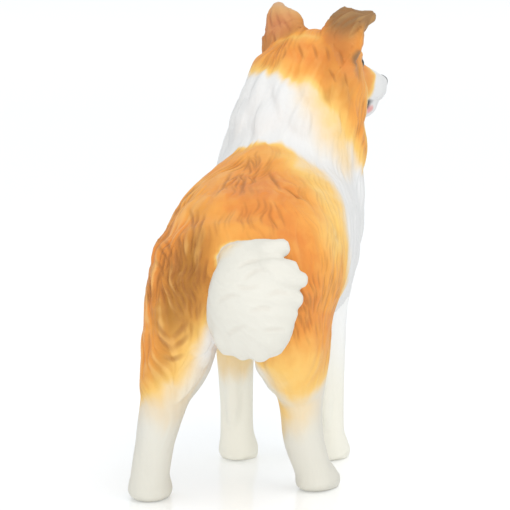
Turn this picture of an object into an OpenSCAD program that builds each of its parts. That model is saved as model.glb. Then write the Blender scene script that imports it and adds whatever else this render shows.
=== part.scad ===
// Standing collie figurine, head turned to its right, moulded in pieces that are pegged and glued.
// The dog faces -Y with its left side at +X, and its paws stand on z = 0.

/* [Torso] */
// Height of the coat over the withers
withers_h = 56.5; // [54:0.5:59]
// Height of the coat over the loin
loin_h = 54; // [52:0.5:56]
// Height of the coat over the croup
croup_h = 52; // [50:0.5:54]
// Height of the brisket above the floor
brisket_h = 24.5; // [22:0.5:27]
// Height of the belly above the floor
belly_h = 27; // [24:0.5:29]
// Width across the shoulders
shoulder_w = 28; // [26.5:0.5:31.5]
// Width across the loin
loin_w = 30; // [27:0.5:32]
// Width across the haunches
haunch_w = 30.5; // [28:0.5:34]
// Width across the rump, just before it rounds off
rump_w = 25.5; // [22:0.5:28]
// Length of the torso from the shoulders to the haunches
trunk_l = 32; // [30:0.5:35]
// Length of the rounded rump behind the haunches
rump_l = 12; // [10:0.5:14]
// Length of the rounded chest ahead of the shoulders
chest_l = 12; // [10:0.5:14]
// How far the hindquarters swing to the dog's left
haunch_swing = 0.8; // [0:0.2:2]
// Thickness of the torso's wall
wall = 2.2; // [1.6:0.1:3]

/* [Ruff] */
// Width of the ruff over the shoulders
ruff_base_w = 24.6; // [22.6:0.2:27]
// Width of the ruff under the jaw
ruff_top_w = 21.2; // [19.6:0.2:23]
// Depth of the ruff from nape to chest over the shoulders
ruff_base_d = 28; // [26:0.5:30]
// Depth of the ruff from nape to throat under the jaw
ruff_top_d = 18.5; // [17:0.5:21]

/* [Head] */
// Height of the skull's centre above the withers
skull_h = 13; // [11:0.5:15]
// How far ahead of the shoulders the skull's centre stands
skull_reach = 6; // [4:0.5:8]
// How far the skull's centre leans to the dog's right
skull_lean = 6.2; // [5:0.2:8]
// Angle that the head is turned to the dog's right
head_turn = 24; // [15:1:35]
// Length from the skull's centre to the stop between skull and muzzle
skull_l = 10; // [9:0.5:11]
// Width across the cheeks
cheek_w = 17; // [16:0.5:19]
// Height of the crown above the skull's centre
crown_h = 6.6; // [6:0.2:7.4]
// Depth of the jaw below the skull's centre
jaw_d = 8; // [7:0.25:9]
// Length from the skull's centre to the tip of the nose
muzzle_reach = 20; // [18.5:0.5:22]
// Width of the muzzle at its middle
muzzle_w = 6.8; // [6:0.2:7.6]
// Depth of the muzzle at its middle
muzzle_d = 7; // [6:0.2:8]
// How far the muzzle's middle lies below the skull's centre
muzzle_drop = 3.8; // [3:0.2:4.6]
// Length of the rounded nose
nose_l = 2.4; // [2:0.2:3]

/* [Ears] */
// Height of the ear above its root
ear_l = 8.4; // [7.6:0.2:9.6]
// Width of the ear at its root
ear_w = 8.6; // [7.6:0.2:9.6]
// Thickness of the ear
ear_t = 3; // [2.6:0.2:3.6]
// Distance between the ears' roots
ear_spread = 13.5; // [12:0.5:14.5]
// How far the ear leans outwards
ear_splay = 3; // [2:0.2:4]
// How far the ear's tip folds forwards
ear_fold = 2.6; // [2:0.2:3.2]

/* [Forelegs] */
// Distance between the forelegs
foreleg_spread = 16; // [14.5:0.5:17.5]
// How far ahead of the shoulders the forepaws stand
fore_lead = 1; // [0:0.5:3]
// How far the right foreleg steps ahead of the left one
fore_stride = 3; // [0:0.5:5]
// Thickness of the foreleg at its middle
foreleg_t = 5.8; // [5:0.2:6.6]

/* [Hind legs] */
// Distance between the hind legs at the hips
hind_spread = 18.5; // [17:0.5:20]
// How far the hind legs stand to the dog's left of the chest's middle
hind_swing = 3; // [2:0.2:4]
// How much further out than its hip each hind paw stands
hind_splay = 3.6; // [2:0.2:5]
// How far ahead of the haunches the hind paws stand
hind_lead = 3.8; // [2:0.2:5]
// How far the left hind leg stands behind the right one
hind_stride = 12.5; // [8:0.5:15]
// Angle that the hind paws turn outwards
toe_out = 11; // [0:1:20]
// Width of the thigh from side to side
thigh_w = 12.5; // [11:0.5:14]
// Depth of the thigh from front to back
thigh_d = 19; // [17:0.5:21]
// Thickness of the leg below the hock
shank_t = 6.4; // [5.6:0.2:7.2]
// Height of the hock above the floor
hock_h = 14; // [12.5:0.5:15.5]

/* [Paws] */
// Width of a paw
paw_w = 7.6; // [6.8:0.2:8.4]
// Length of a paw
paw_l = 10; // [9:0.5:11.5]
// Height of a paw
paw_h = 4.6; // [4:0.2:5.4]

/* [Tail] */
// Height of the tail where it leaves the rump
tail_h = 42; // [40.5:0.5:43]
// Drop of the tail from there to its tip
tail_drop = 15.5; // [14:0.5:17.5]
// Width of the tail's plume
plume_w = 15.5; // [13:0.5:17]
// Thickness of the tail's plume
plume_t = 9; // [7.5:0.5:10]
// How far the tail swings to the dog's right
tail_swing = 5; // [3:0.5:7]

/* [Pegs] */
// Diameter of a leg's or tail's peg
peg_d = 3.2; // [2.6:0.2:3.8]
// Length of a peg inside its socket
peg_l = 6; // [5:0.5:7]
// Diameter of an ear's peg
ear_peg_d = 1.8; // [1.4:0.2:2.2]
// Length of an ear's peg, half of it in the ear
ear_peg_l = 5.6; // [4.6:0.2:6.2]
// Diameter of the steel dowel through the neck
dowel_d = 4; // [3:0.5:5]
// Depth of the dowel's lower end below the withers
dowel_depth = 15; // [13:0.5:17]
// Diameter of the pins that line up the torso's halves
pin_d = 2.4; // [2:0.2:3]
// Length of such a pin past the parting plane
pin_l = 3; // [2.5:0.5:4]
// Depth of the pins inside the back and the belly
pin_inset = 9; // [8:0.5:10]
// Radial clearance of a peg in its socket
clearance = 0.05; // [0.02:0.01:0.1]
// Gap between a peg's end and the bottom of its socket
end_gap = 0.3; // [0.2:0.05:0.5]
// Wall of plastic round a socket
boss_wall = 1.8; // [1.4:0.1:2.2]

/* [Hidden] */
$fn = 40;
// Facets round a large section and a small one, and rings between two stations and in a dome
sides = 24;
small_sides = 16;
steps = 3;
dome_steps = 4;
left = 1;
right = -1;
across = [1, 0, 0];
up = [0, 0, 1];
amber = "#eda04d";
cream = "#f3efe6";
tan = "#b98a5a";
steel = "#b9bcc0";

// Reference places along the spine
haunch_y = trunk_l / 2;
shoulder_y = -trunk_l / 2;
rump_y = haunch_y + rump_l;
// The torso's halves part on this plane, and the tail's root stands on it
parting_x = haunch_swing / 2;
skull_z = withers_h + skull_h;
// A length past the whole figure, for cuts
beyond = 2 * skull_z;

// A station is a section's centre, then its half width and half depth.
function section(at, w, d) = [at.x, at.y, at.z, w / 2, d / 2];
function between(x, y, low, high, w) = section([x, y, (low + high) / 2], w, high - low);
function place(s) = [s[0], s[1], s[2]];
function unit(v) = v / norm(v);
function mix(a, b, t) = a + (b - a) * t;

// Catmull-Rom curve through the stations
function curve(a, b, c, d, t) =
    (2 * b + (c - a) * t + (2 * a - 5 * b + 4 * c - d) * t ^ 2 + (3 * b - a - 3 * c + d) * t ^ 3) / 2;
function flow(s) = [
    for (i = [0:len(s) - 2]) for (k = [0:steps - 1])
        curve(s[max(i - 1, 0)], s[i], s[i + 1], s[min(i + 2, len(s) - 1)], k / steps),
    s[len(s) - 1]
];

// Quarter-ellipse dome that closes a loft beyond its end station, pole first
blunt = 0.4;
function dome(s, away, l) = [
    for (k = [dome_steps:-1:1]) let (a = 90 * k / (dome_steps + blunt))
        [each place(s) + away * l * sin(a), s[3] * cos(a), s[4] * cos(a)]
];
function reversed(list) = [for (i = [len(list) - 1:-1:0]) list[i]];
function domed(s, first_l, last_l) =
    let (f = flow(s), m = len(f) - 1)
    concat(
        dome(f[0], unit(place(f[0]) - place(f[1])), first_l),
        f,
        reversed(dome(f[m], unit(place(f[m]) - place(f[m - 1])), last_l))
    );

// Sections square to the path, fuller than an ellipse where fullness is over 2
function filled(c, fullness) = sign(c) * abs(c) ^ (2 / fullness);
function rings(s, lateral, n = sides, fullness = 2) =
    let (m = len(s) - 1)
    [for (i = [0:m])
        let (
            t = unit(place(s[min(i + 1, m)]) - place(s[max(i - 1, 0)])),
            l = unit(lateral - (lateral * t) * t),
            v = cross(t, l)
        )
        [for (k = [0:n - 1]) let (a = 360 * k / n)
            place(s[i]) + s[i][3] * filled(cos(a), fullness) * l + s[i][4] * filled(sin(a), fullness) * v]];

// Closed solid over a stack of rings
module skin(r) {
    n = len(r[0]);
    m = len(r);
    quads = [
        for (i = [0:m - 2]) for (k = [0:n - 1])
            [i * n + k, (i + 1) * n + k, (i + 1) * n + (k + 1) % n, i * n + (k + 1) % n]
    ];
    polyhedron(
        points = [for (ring = r) each ring],
        faces = concat(
            [[for (k = [0:n - 1]) k], [for (k = [n - 1:-1:0]) (m - 1) * n + k]],
            [for (q = quads) [q[0], q[1], q[2]]],
            [for (q = quads) [q[0], q[2], q[3]]]
        )
    );
}

// Round bar from one point to another
module bar(a, b, d) {
    v = b - a;
    translate(a)
        rotate([0, acos(v.z / norm(v)), atan2(v.y, v.x)])
            cylinder(d = d, h = norm(v));
}

// Torso: stations from the rump to the chest
body_fullness = 2.5;
rump_share = 0.55;
chest_share = 0.5;
torso_stations = [
    between(haunch_swing, haunch_y + rump_l * rump_share, belly_h + rump_l * 0.25, croup_h - rump_l * 0.3,
            rump_w),
    between(haunch_swing, haunch_y, belly_h, croup_h, haunch_w),
    between(haunch_swing * 0.4, 0, belly_h, loin_h, loin_w),
    between(0, shoulder_y, brisket_h, withers_h, shoulder_w),
    between(0, shoulder_y - chest_l * chest_share, brisket_h + chest_l * 0.2, withers_h - chest_l * 0.33,
            shoulder_w * 0.82)
];
rump_dome = rump_l * (1 - rump_share);
chest_dome = chest_l * (1 - chest_share);
torso_rings = rings(domed(torso_stations, rump_dome, chest_dome), across, fullness = body_fullness);
cavity_stations = [for (s = torso_stations) [s[0], s[1], s[2], s[3] - wall, s[4] - wall]];
cavity_path = domed(cavity_stations, rump_dome - wall, chest_dome - wall);
cavity_rings = rings(cavity_path, across, fullness = body_fullness);

// Height of the torso's underside at a distance from its middle
function underside(x, low, high, w) =
    let (half = (high - low) / 2)
    low + half - half * (1 - abs(2 * x / w) ^ body_fullness) ^ (1 / body_fullness);

// Skull's centre, and the head's own directions
skull = [-skull_lean, shoulder_y - skull_reach, skull_z];
ahead = [-sin(head_turn), -cos(head_turn), 0];
leftward = [cos(head_turn), -sin(head_turn), 0];
function on_head(s, l, u) = skull + ahead * s + leftward * l + up * u;

// Ruff: from an apron over the chest, round the shoulders and up the neck, to inside the head
function neck_at(lean, lead, z) = [-skull_lean * lean, shoulder_y - lead, z];
ruff_stations = [
    section(neck_at(0, chest_l * 0.36, brisket_h + chest_l), ruff_base_w * 0.78, ruff_base_d * 0.74),
    section(neck_at(0.18, chest_l * 0.26, withers_h - ruff_base_d * 0.2), ruff_base_w, ruff_base_d),
    section(neck_at(0.47, skull_reach * 0.7, mix(withers_h, skull_z, 0.5)),
            mix(ruff_base_w, ruff_top_w, 0.5), mix(ruff_base_d, ruff_top_d, 0.5)),
    section(neck_at(0.68, skull_reach, skull_z - jaw_d * 0.25), ruff_top_w, ruff_top_d)
];
ruff_rings = rings(domed(ruff_stations, ruff_base_d * 0.2, ruff_top_d * 0.16), across);

// Head: stations from the back of the skull to the nose
function skull_section(s, w, high, low) =
    let (top = crown_h * high, bottom = jaw_d * low)
    section(on_head(skull_l * s, 0, (top - bottom) / 2), cheek_w * w, top + bottom);
function muzzle_section(s, w, d) = section(on_head(s, 0, -muzzle_drop), muzzle_w * w, muzzle_d * d);
head_stations = [
    skull_section(-0.5, 0.78, 0.85, 0.75),
    skull_section(-0.15, 1, 1, 1),
    skull_section(0.3, 0.81, 0.91, 1.06),
    skull_section(0.7, 0.54, 0.58, 1),
    muzzle_section(skull_l, 1.26, 1.08),
    muzzle_section(mix(skull_l, muzzle_reach, 0.5), 1, 1),
    muzzle_section(muzzle_reach - nose_l, 0.79, 0.8)
];
head_rings = rings(domed(head_stations, skull_l * 0.35, nose_l), leftward);

// Ears: from a root in the skull up to a tip that folds outwards and forwards
function ear_at(side, s, out, rise) =
    on_head(s - skull_l * 0.3, side * (ear_spread / 2 + ear_splay * out), crown_h * 0.55 + ear_l * rise);
function ear_stations(side) = [
    section(ear_at(side, 0, 0, 0), ear_w, ear_t * 1.27),
    section(ear_at(side, -ear_fold * 0.15, 0.4, 0.5), ear_w * 0.93, ear_t),
    section(ear_at(side, ear_fold * 0.15, 0.8, 0.85), ear_w * 0.67, ear_t * 0.87),
    section(ear_at(side, ear_fold, 1, 0.85), ear_w * 0.35, ear_t * 0.67)
];
function ear_rings(side) = rings(domed(ear_stations(side), ear_t / 3, ear_t / 3), leftward, small_sides);

// Paw: stations from heel to toes, with the lower half below the floor
function toes(turn) = [sin(turn), -cos(turn), 0];
function paw_rings(at, turn) = rings(
    domed(
        [
            section(at - toes(turn) * paw_l * 0.28, paw_w * 0.82, 2 * paw_h),
            section(at, paw_w * 0.95, 2.08 * paw_h),
            section(at + toes(turn) * paw_l * 0.3, paw_w, 1.65 * paw_h)
        ],
        paw_l * 0.14, paw_l * 0.28
    ),
    across, small_sides
);

// Forelegs: straight columns from inside the chest
function foreleg_x(side) = side * foreleg_spread / 2;
function foreleg_y(side) = shoulder_y - fore_lead + side * fore_stride / 2;
function elbow_y(side) = shoulder_y + fore_lead + side * fore_stride / 4;
function forepaw(side) = [foreleg_x(side), foreleg_y(side), 0];
function foreleg_section(side, y, z, w, d) = section([foreleg_x(side), y, z], foreleg_t * w, foreleg_t * d);
function foreleg_stations(side) = [
    foreleg_section(side, elbow_y(side), brisket_h + chest_l * 0.5, 1.35, 1.7),
    foreleg_section(side, elbow_y(side), brisket_h * 0.92, 1.17, 1.4),
    foreleg_section(side, foreleg_y(side) + foreleg_t * 0.17, brisket_h * 0.45, 1, 1.07),
    foreleg_section(side, foreleg_y(side) + foreleg_t * 0.1, paw_h * 0.9, 1, 1.07),
    foreleg_section(side, foreleg_y(side), paw_h * 0.3, 0.9, 1)
];
function foreleg_rings(side) =
    rings(domed(foreleg_stations(side), foreleg_t * 0.5, foreleg_t * 0.1), across, small_sides);

// Hind legs: haunch, stifle, hock and pastern
function hind_x(side) = side * hind_spread / 2 + hind_swing;
function hind_y(side) = haunch_y - hind_lead + side * hind_stride / 2;
function hindpaw(side) = [hind_x(side) + side * hind_splay, hind_y(side), 0];
function thigh_section(side, out, y, z, w, d) =
    section([hind_x(side) + out, y, z], thigh_w * w, thigh_d * d);
function shank_section(side, splay, back, z, w, d) =
    section(
        [hind_x(side) + side * hind_splay * splay, hind_y(side) + shank_t * back, z],
        shank_t * w, shank_t * d
    );
function hind_stations(side) = [
    thigh_section(side, -hind_swing * 0.57, haunch_y - thigh_d * 0.04, belly_h + thigh_d * 0.68, 0.84, 0.93),
    thigh_section(side, -hind_swing * 0.5, haunch_y - thigh_d * 0.04 + side * hind_stride * 0.08,
                  belly_h + thigh_d * 0.2, 1.04, 1.06),
    thigh_section(side, -hind_swing * 0.37, haunch_y - thigh_d * 0.08 + side * hind_stride * 0.22,
                  mix(hock_h, belly_h, 0.8), 0.95, 0.88),
    shank_section(side, 0.3, 0.4, hock_h * 1.33, 1.35, 1.75),
    shank_section(side, 0.45, 0.45, hock_h * 1.03, 1.14, 1.41),
    shank_section(side, 0.63, 0.44, hock_h * 0.65, 1.04, 1.11),
    shank_section(side, 1, 0.25, paw_h * 0.6, 1.02, 1.02)
];
function hind_rings(side) =
    rings(domed(hind_stations(side), thigh_d * 0.16, shank_t * 0.1), across, small_sides);

// Tail: out of the rump, round to the dog's right and down
tail_root_z = tail_h - plume_t * 0.2;
function tail_section(swing, back, drop, w, d) =
    section(
        [-tail_swing * swing, rump_y + plume_t * back, tail_h - tail_drop * drop],
        plume_w * w, plume_t * d
    );
tail_stations = [
    section([parting_x, rump_y - plume_t * 0.55, tail_root_z], plume_w * 0.45, plume_t * 0.55),
    tail_section(0.45, 0.06, 0.02, 0.66, 0.78),
    tail_section(0.76, 0.47, 0.28, 0.94, 1),
    tail_section(0.92, 0.49, 0.62, 0.97, 0.93),
    tail_section(0.75, 0.29, 0.9, 0.69, 0.67)
];
tail_rings = rings(domed(tail_stations, plume_t * 0.2, tail_drop * 0.14), across);

// Shift that puts the origin under the middle of the figure's box
outer_rings = concat(
    torso_rings, head_rings, tail_rings, hind_rings(left), hind_rings(right),
    paw_rings(hindpaw(left), toe_out), paw_rings(hindpaw(right), -toe_out)
);
function middle(values) = (min(values) + max(values)) / 2;
to_origin = -[for (axis = [0:1]) middle([for (r = outer_rings) for (p = r) p[axis]])];

// Places of the pegs: each one's mouth, or the end that the dowel starts from
grip = peg_l / 2;
function fore_mouth(side) =
    [foreleg_x(side), elbow_y(side), underside(foreleg_x(side), brisket_h, withers_h, shoulder_w)];
function hind_mouth(side) =
    let (off_middle = hind_x(side) - haunch_swing)
    [hind_x(side), haunch_y - thigh_d * 0.1, underside(off_middle, belly_h, croup_h, haunch_w)];
tail_mouth = [parting_x, rump_y, tail_root_z];
dowel_low = [0, shoulder_y, withers_h - dowel_depth];
neck_line = unit(skull - dowel_low);
dowel_high = skull - neck_line * dowel_d / 2;
function ear_root(side) = ear_at(side, 0, 0, 0);
function ear_line(side) = unit(ear_at(side, 0, 0.4, 0.5) - ear_root(side));
pin_places = [
    [parting_x, haunch_y / 2, croup_h - pin_inset],
    [parting_x, 0, belly_h + pin_inset],
    [parting_x, shoulder_y / 2, withers_h - pin_inset]
];

// A peg's place from its mouth: so far out of it, so deep into it, and so thick
module leg_bar(mouth, out, depth, d) bar(mouth - up * out, mouth + up * depth, d);
module tail_bar(out, depth, d) bar(tail_mouth + [0, out, 0], tail_mouth - [0, depth, 0], d);
module dowel_bar(past_low, past_high, d)
    bar(dowel_low - neck_line * past_low, dowel_high + neck_line * past_high, d);
module ear_bar(side, depth, d)
    bar(ear_root(side) - ear_line(side) * depth, ear_root(side) + ear_line(side) * ear_peg_l / 2, d);
module cross_bar(place, out, depth, d) bar(place + across * out, place - across * depth, d);
socket_l = peg_l + end_gap;
function socket(d) = d + 2 * clearance;
function boss(d) = d + 2 * boss_wall;

// Hollow of the torso, with the bosses left standing in it
module cavity() {
    difference() {
        skin(cavity_rings);
        for (side = [left, right]) {
            leg_bar(fore_mouth(side), grip, socket_l + boss_wall, boss(peg_d));
            leg_bar(hind_mouth(side), grip, socket_l + boss_wall, boss(peg_d));
        }
        tail_bar(grip, socket_l + boss_wall, boss(peg_d));
        dowel_bar(end_gap + boss_wall, 0, boss(dowel_d));
        // A rib across the hollow carries the dowel's boss
        cross_bar(dowel_low, beyond, beyond, boss(dowel_d));
        for (place = pin_places)
            cross_bar(place, beyond, beyond, boss(pin_d));
    }
}

// Everything on the other side of the torso's parting plane
module other_half(side)
    translate([parting_x - (side == left ? beyond : 0), -beyond, 0])
        cube([beyond, 2 * beyond, beyond]);

module torso_half(side) {
    difference() {
        skin(torso_rings);
        other_half(side);
        cavity();
        leg_bar(fore_mouth(side), peg_l, socket_l, socket(peg_d));
        leg_bar(hind_mouth(side), peg_l, socket_l, socket(peg_d));
        tail_bar(peg_l, socket_l, socket(peg_d));
        dowel_bar(end_gap, 0, socket(dowel_d));
        if (side == right)
            for (place = pin_places)
                cross_bar(place, pin_l, pin_l + end_gap, socket(pin_d));
    }
    if (side == left)
        for (place = pin_places)
            cross_bar(place, pin_l, pin_l, pin_d);
}

module torso_left() color(amber) torso_half(left);

module torso_right() color(amber) torso_half(right);

// An ear's peg passes through the skull, and where that is thin it ends in the ruff.
module ear_sockets()
    for (side = [left, right])
        ear_bar(side, ear_peg_l / 2 + end_gap, socket(ear_peg_d));

module ruff() {
    color(cream)
        difference() {
            skin(ruff_rings);
            skin(torso_rings);
            dowel_bar(0, 0, socket(dowel_d));
            ear_sockets();
        }
}

module head() {
    color(amber)
        difference() {
            skin(head_rings);
            skin(ruff_rings);
            dowel_bar(0, end_gap, socket(dowel_d));
            ear_sockets();
        }
}

module ear(side) {
    color(tan) {
        difference() {
            skin(ear_rings(side));
            skin(head_rings);
            skin(ruff_rings);
        }
        ear_bar(side, ear_peg_l / 2, ear_peg_d);
    }
}

// A leg is a column and a paw, coped to the torso, cut flat at the floor and pegged.
module leg(column, paw, mouth) {
    difference() {
        union() {
            skin(column);
            skin(paw);
        }
        skin(torso_rings);
        translate([-beyond, -beyond, -beyond])
            cube([2 * beyond, 2 * beyond, beyond]);
    }
    leg_bar(mouth, grip, peg_l, peg_d);
}

module foreleg(side) color(cream) leg(foreleg_rings(side), paw_rings(forepaw(side), 0), fore_mouth(side));

module hind_leg(side)
    color(amber) leg(hind_rings(side), paw_rings(hindpaw(side), side * toe_out), hind_mouth(side));

module tail() {
    color(cream) {
        difference() {
            skin(tail_rings);
            skin(torso_rings);
        }
        tail_bar(grip, peg_l, peg_d);
    }
}

module neck_dowel() color(steel) dowel_bar(0, 0, dowel_d);

module on_origin() translate(to_origin) children();

on_origin() torso_left();
on_origin() torso_right();
on_origin() ruff();
on_origin() head();
on_origin() ear(left);  // left_ear
on_origin() ear(right);  // right_ear
on_origin() foreleg(left);  // left_foreleg
on_origin() foreleg(right);  // right_foreleg
on_origin() hind_leg(left);  // left_hind_leg
on_origin() hind_leg(right);  // right_hind_leg
on_origin() tail();
on_origin() neck_dowel();
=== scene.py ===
"""Looks of a standing collie figurine: moulded, hand-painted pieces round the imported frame.

The figure is sculpted once as a field of distances on a voxel grid. The field is skinned, combed with
hair grooves and airbrushed, and then parted along the seams of its mouldings, so that the seams lie flush.
Lengths are in millimetres until a mesh is made. The dog faces -Y, and its left side is at +X.
"""

import logging
import math
from collections.abc import Iterator
from dataclasses import dataclass, field
from enum import Enum
from functools import cached_property

import bpy
import numpy as np
from mathutils import Matrix, Vector

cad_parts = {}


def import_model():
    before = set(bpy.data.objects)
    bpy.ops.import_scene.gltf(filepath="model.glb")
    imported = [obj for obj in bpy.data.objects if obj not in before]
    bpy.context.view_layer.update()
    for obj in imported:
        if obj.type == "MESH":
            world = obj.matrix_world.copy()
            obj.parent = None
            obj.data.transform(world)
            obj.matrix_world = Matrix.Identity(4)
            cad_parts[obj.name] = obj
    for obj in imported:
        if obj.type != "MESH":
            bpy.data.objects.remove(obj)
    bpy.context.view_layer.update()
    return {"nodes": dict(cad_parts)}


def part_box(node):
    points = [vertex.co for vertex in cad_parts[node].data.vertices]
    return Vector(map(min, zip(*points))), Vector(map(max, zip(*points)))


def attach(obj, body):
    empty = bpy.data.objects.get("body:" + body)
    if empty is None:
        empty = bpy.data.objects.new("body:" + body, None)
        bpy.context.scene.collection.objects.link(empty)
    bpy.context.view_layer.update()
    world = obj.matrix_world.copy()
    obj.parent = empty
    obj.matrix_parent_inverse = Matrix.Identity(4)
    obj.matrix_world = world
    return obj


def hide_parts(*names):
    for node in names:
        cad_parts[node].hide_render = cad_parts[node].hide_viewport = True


LOG = logging.getLogger("collie")
MM = 0.001
LEFT, RIGHT = 1, -1
SIDES = (LEFT, RIGHT)
Array = np.ndarray
Window = tuple[slice, slice, slice]
Socket = bpy.types.NodeSocket


class Moulding(Enum):
    """The pieces that the figure is moulded in, each named as the node that it stands for."""

    TORSO_LEFT = "torso_left"
    TORSO_RIGHT = "torso_right"
    RUFF = "ruff"
    HEAD = "head"
    LEFT_EAR = "left_ear"
    RIGHT_EAR = "right_ear"
    LEFT_FORELEG = "left_foreleg"
    RIGHT_FORELEG = "right_foreleg"
    LEFT_HIND_LEG = "left_hind_leg"
    RIGHT_HIND_LEG = "right_hind_leg"
    TAIL = "tail"

    @property
    def place(self) -> int:
        """The piece's number in the order given here."""
        return list(Moulding).index(self)

    @property
    def slot(self) -> str:
        """The material slot of the piece: its name without its side."""
        words = [word for word in self.value.split("_") if word not in ("left", "right")]
        return "_".join(words) + "_paint"

    @classmethod
    def sided(cls, side: int, name: str) -> "Moulding":
        """The left or the right piece of a pair."""
        return cls(("left_" if side == LEFT else "right_") + name)


class Paint(Enum):
    """The paints that the airbrush lays over the white plastic."""

    CREAM = "cream"
    AMBER = "amber"
    BROWN = "brown"
    DARK = "dark"
    PINK = "pink"


def vec(*numbers: float) -> Array:
    """The numbers as an array of floats."""
    return np.array(numbers, dtype=float)


def unit(vectors: Array) -> Array:
    """The vectors at a length of one."""
    return vectors / np.maximum(np.linalg.norm(vectors, axis=-1, keepdims=True), 1e-9)


def eased(values: Array) -> Array:
    """Values held between 0 and 1 and eased at both ends: 3 t^2 - 2 t^3."""
    t = np.clip(values, 0, 1)
    return t * t * (3 - 2 * t)


def ramp(values: Array, low: float, high: float) -> Array:
    """How far values are from one bound to the other, eased at both."""
    return eased((values - low) / (high - low))


def smooth_min(a: Array, b: Array, blend: float) -> Array:
    """The lesser of two distances, rounded off where they differ by less than the blend.

    With h = 1 - |a - b| / blend, held above zero, the result is min(a, b) - h^2 blend / 4.
    """
    h = np.maximum(1 - np.abs(a - b) / blend, 0)
    return np.minimum(a, b) - h * h * blend / 4


def softened(values: Array, rounds: int) -> Array:
    """Values on a grid, blurred over some rounds.

    In each round, and along each axis, a value becomes half of itself and a quarter of both neighbours.
    """
    for _ in range(rounds):
        for axis in range(3):
            rows = np.moveaxis(values, axis, 0)
            wide = np.concatenate([rows[:1], rows, rows[-1:]])
            values = np.moveaxis(0.5 * rows + 0.25 * (wide[:-2] + wide[2:]), 0, axis)
    return values


def curve_through(stations: Array, gap: float) -> Array:
    """Samples a Catmull-Rom curve through stations, about a gap apart.

    Args:
        stations: Rows that start with x, y and z, and may hold other values to carry along.
        gap: Distance between samples.

    Returns:
        Rows of the same kind, from the first station to the last.
    """
    legs = np.linalg.norm(np.diff(stations[:, :3], axis=0), axis=1)
    counts = np.maximum(np.ceil(legs / gap).astype(int), 2)
    leg = np.concatenate([np.repeat(np.arange(len(legs)), counts), [len(legs) - 1]])
    t = np.concatenate([np.arange(n) / n for n in counts] + [[1.0]])[:, None]
    last = len(stations) - 1
    a, b, c, d = (stations[np.clip(leg + k, 0, last)] for k in (-1, 0, 1, 2))
    return (2 * b + (c - a) * t + (2 * a - 5 * b + 4 * c - d) * t**2 + (3 * b - a - 3 * c + d) * t**3) / 2


@dataclass(frozen=True)
class VoxelGrid:
    """Evenly spaced points in a box."""

    low: Array
    step: float
    shape: tuple[int, int, int]

    @classmethod
    def over(cls, low: Array, high: Array, step: float) -> "VoxelGrid":
        """A grid that reaches from a low corner to a high one, with a point on each whole step."""
        start = np.floor(low / step) * step
        return cls(start, step, tuple(int(n) for n in np.ceil((high - start) / step) + 1))

    @property
    def whole(self) -> Window:
        """All of the grid, as slices."""
        return tuple(slice(0, n) for n in self.shape)

    def window(self, low: Array, high: Array) -> Window:
        """The part of the grid inside a box, as slices."""
        first = np.maximum(np.floor((low - self.low) / self.step).astype(int), 0)
        last = np.minimum(np.ceil((high - self.low) / self.step).astype(int) + 1, self.shape)
        return tuple(slice(a, max(b, a)) for a, b in zip(first, last))

    def points(self, window: Window) -> Array:
        """The places of a window's points, one row each."""
        axes = [self.low[k] + self.step * np.arange(s.start, s.stop) for k, s in enumerate(window)]
        return np.stack(np.meshgrid(*axes, indexing="ij"), axis=-1).reshape(-1, 3).astype(np.float32)

    def read(self, values: Array, points: Array) -> Array:
        """Values of the grid at any points, mixed from the eight corners round each.

        Args:
            values: One value, or one row of values, for each point of the grid.
            points: Places, one row each.

        Returns:
            One value, or one row, for each place.
        """
        spot = (points - self.low) / self.step
        corner = np.clip(np.floor(spot).astype(np.int64), 0, np.array(self.shape) - 2)
        share = np.clip(spot - corner, 0, 1).astype(np.float32)
        return lattice_mix(values, corner, share, wrap=False)


def lattice_mix(values: Array, corner: Array, share: Array, wrap: bool) -> Array:
    """Mixes the eight lattice values round each point, each by the share of the cell on its far side.

    Args:
        values: The lattice, with one value or one row of values a point.
        corner: Lattice place of each point's lowest corner.
        share: How far each point lies along its cell, from 0 to 1 on each axis.
        wrap: Whether the lattice repeats.

    Returns:
        One value, or one row, for each point.
    """
    nx, ny, nz = values.shape[:3]
    flat = values.reshape(nx * ny * nz, *values.shape[3:])
    total = 0
    for ox in (0, 1):
        for oy in (0, 1):
            for oz in (0, 1):
                i, j, k = corner[:, 0] + ox, corner[:, 1] + oy, corner[:, 2] + oz
                if wrap:
                    i, j, k = i % nx, j % ny, k % nz
                weight = (
                    (share[:, 0] if ox else 1 - share[:, 0])
                    * (share[:, 1] if oy else 1 - share[:, 1])
                    * (share[:, 2] if oz else 1 - share[:, 2])
                )
                found = flat[(i * ny + j) * nz + k]
                total = total + (found * weight[:, None] if found.ndim == 2 else found * weight)
    return total


@dataclass(frozen=True)
class Ripple:
    """Smooth random values in space, the same on every run."""

    seed: int
    cell: float
    across: int = 1
    size: int = 40

    def read(self, points: Array) -> Array:
        """Values about zero at points: random lattice values, mixed along eased cells."""
        rng = np.random.default_rng(self.seed)
        shape = (self.size,) * 3 + ((self.across,) if self.across > 1 else ())
        lattice = rng.standard_normal(shape).astype(np.float32)
        return self.mixed(lattice, points)

    def mixed(self, lattice: Array, points: Array) -> Array:
        """Values of a lattice that is already drawn."""
        spot = points / self.cell
        corner = np.floor(spot).astype(np.int64)
        share = (spot - corner).astype(np.float32)
        return lattice_mix(lattice, corner, share * share * (3 - 2 * share), wrap=True)


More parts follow.
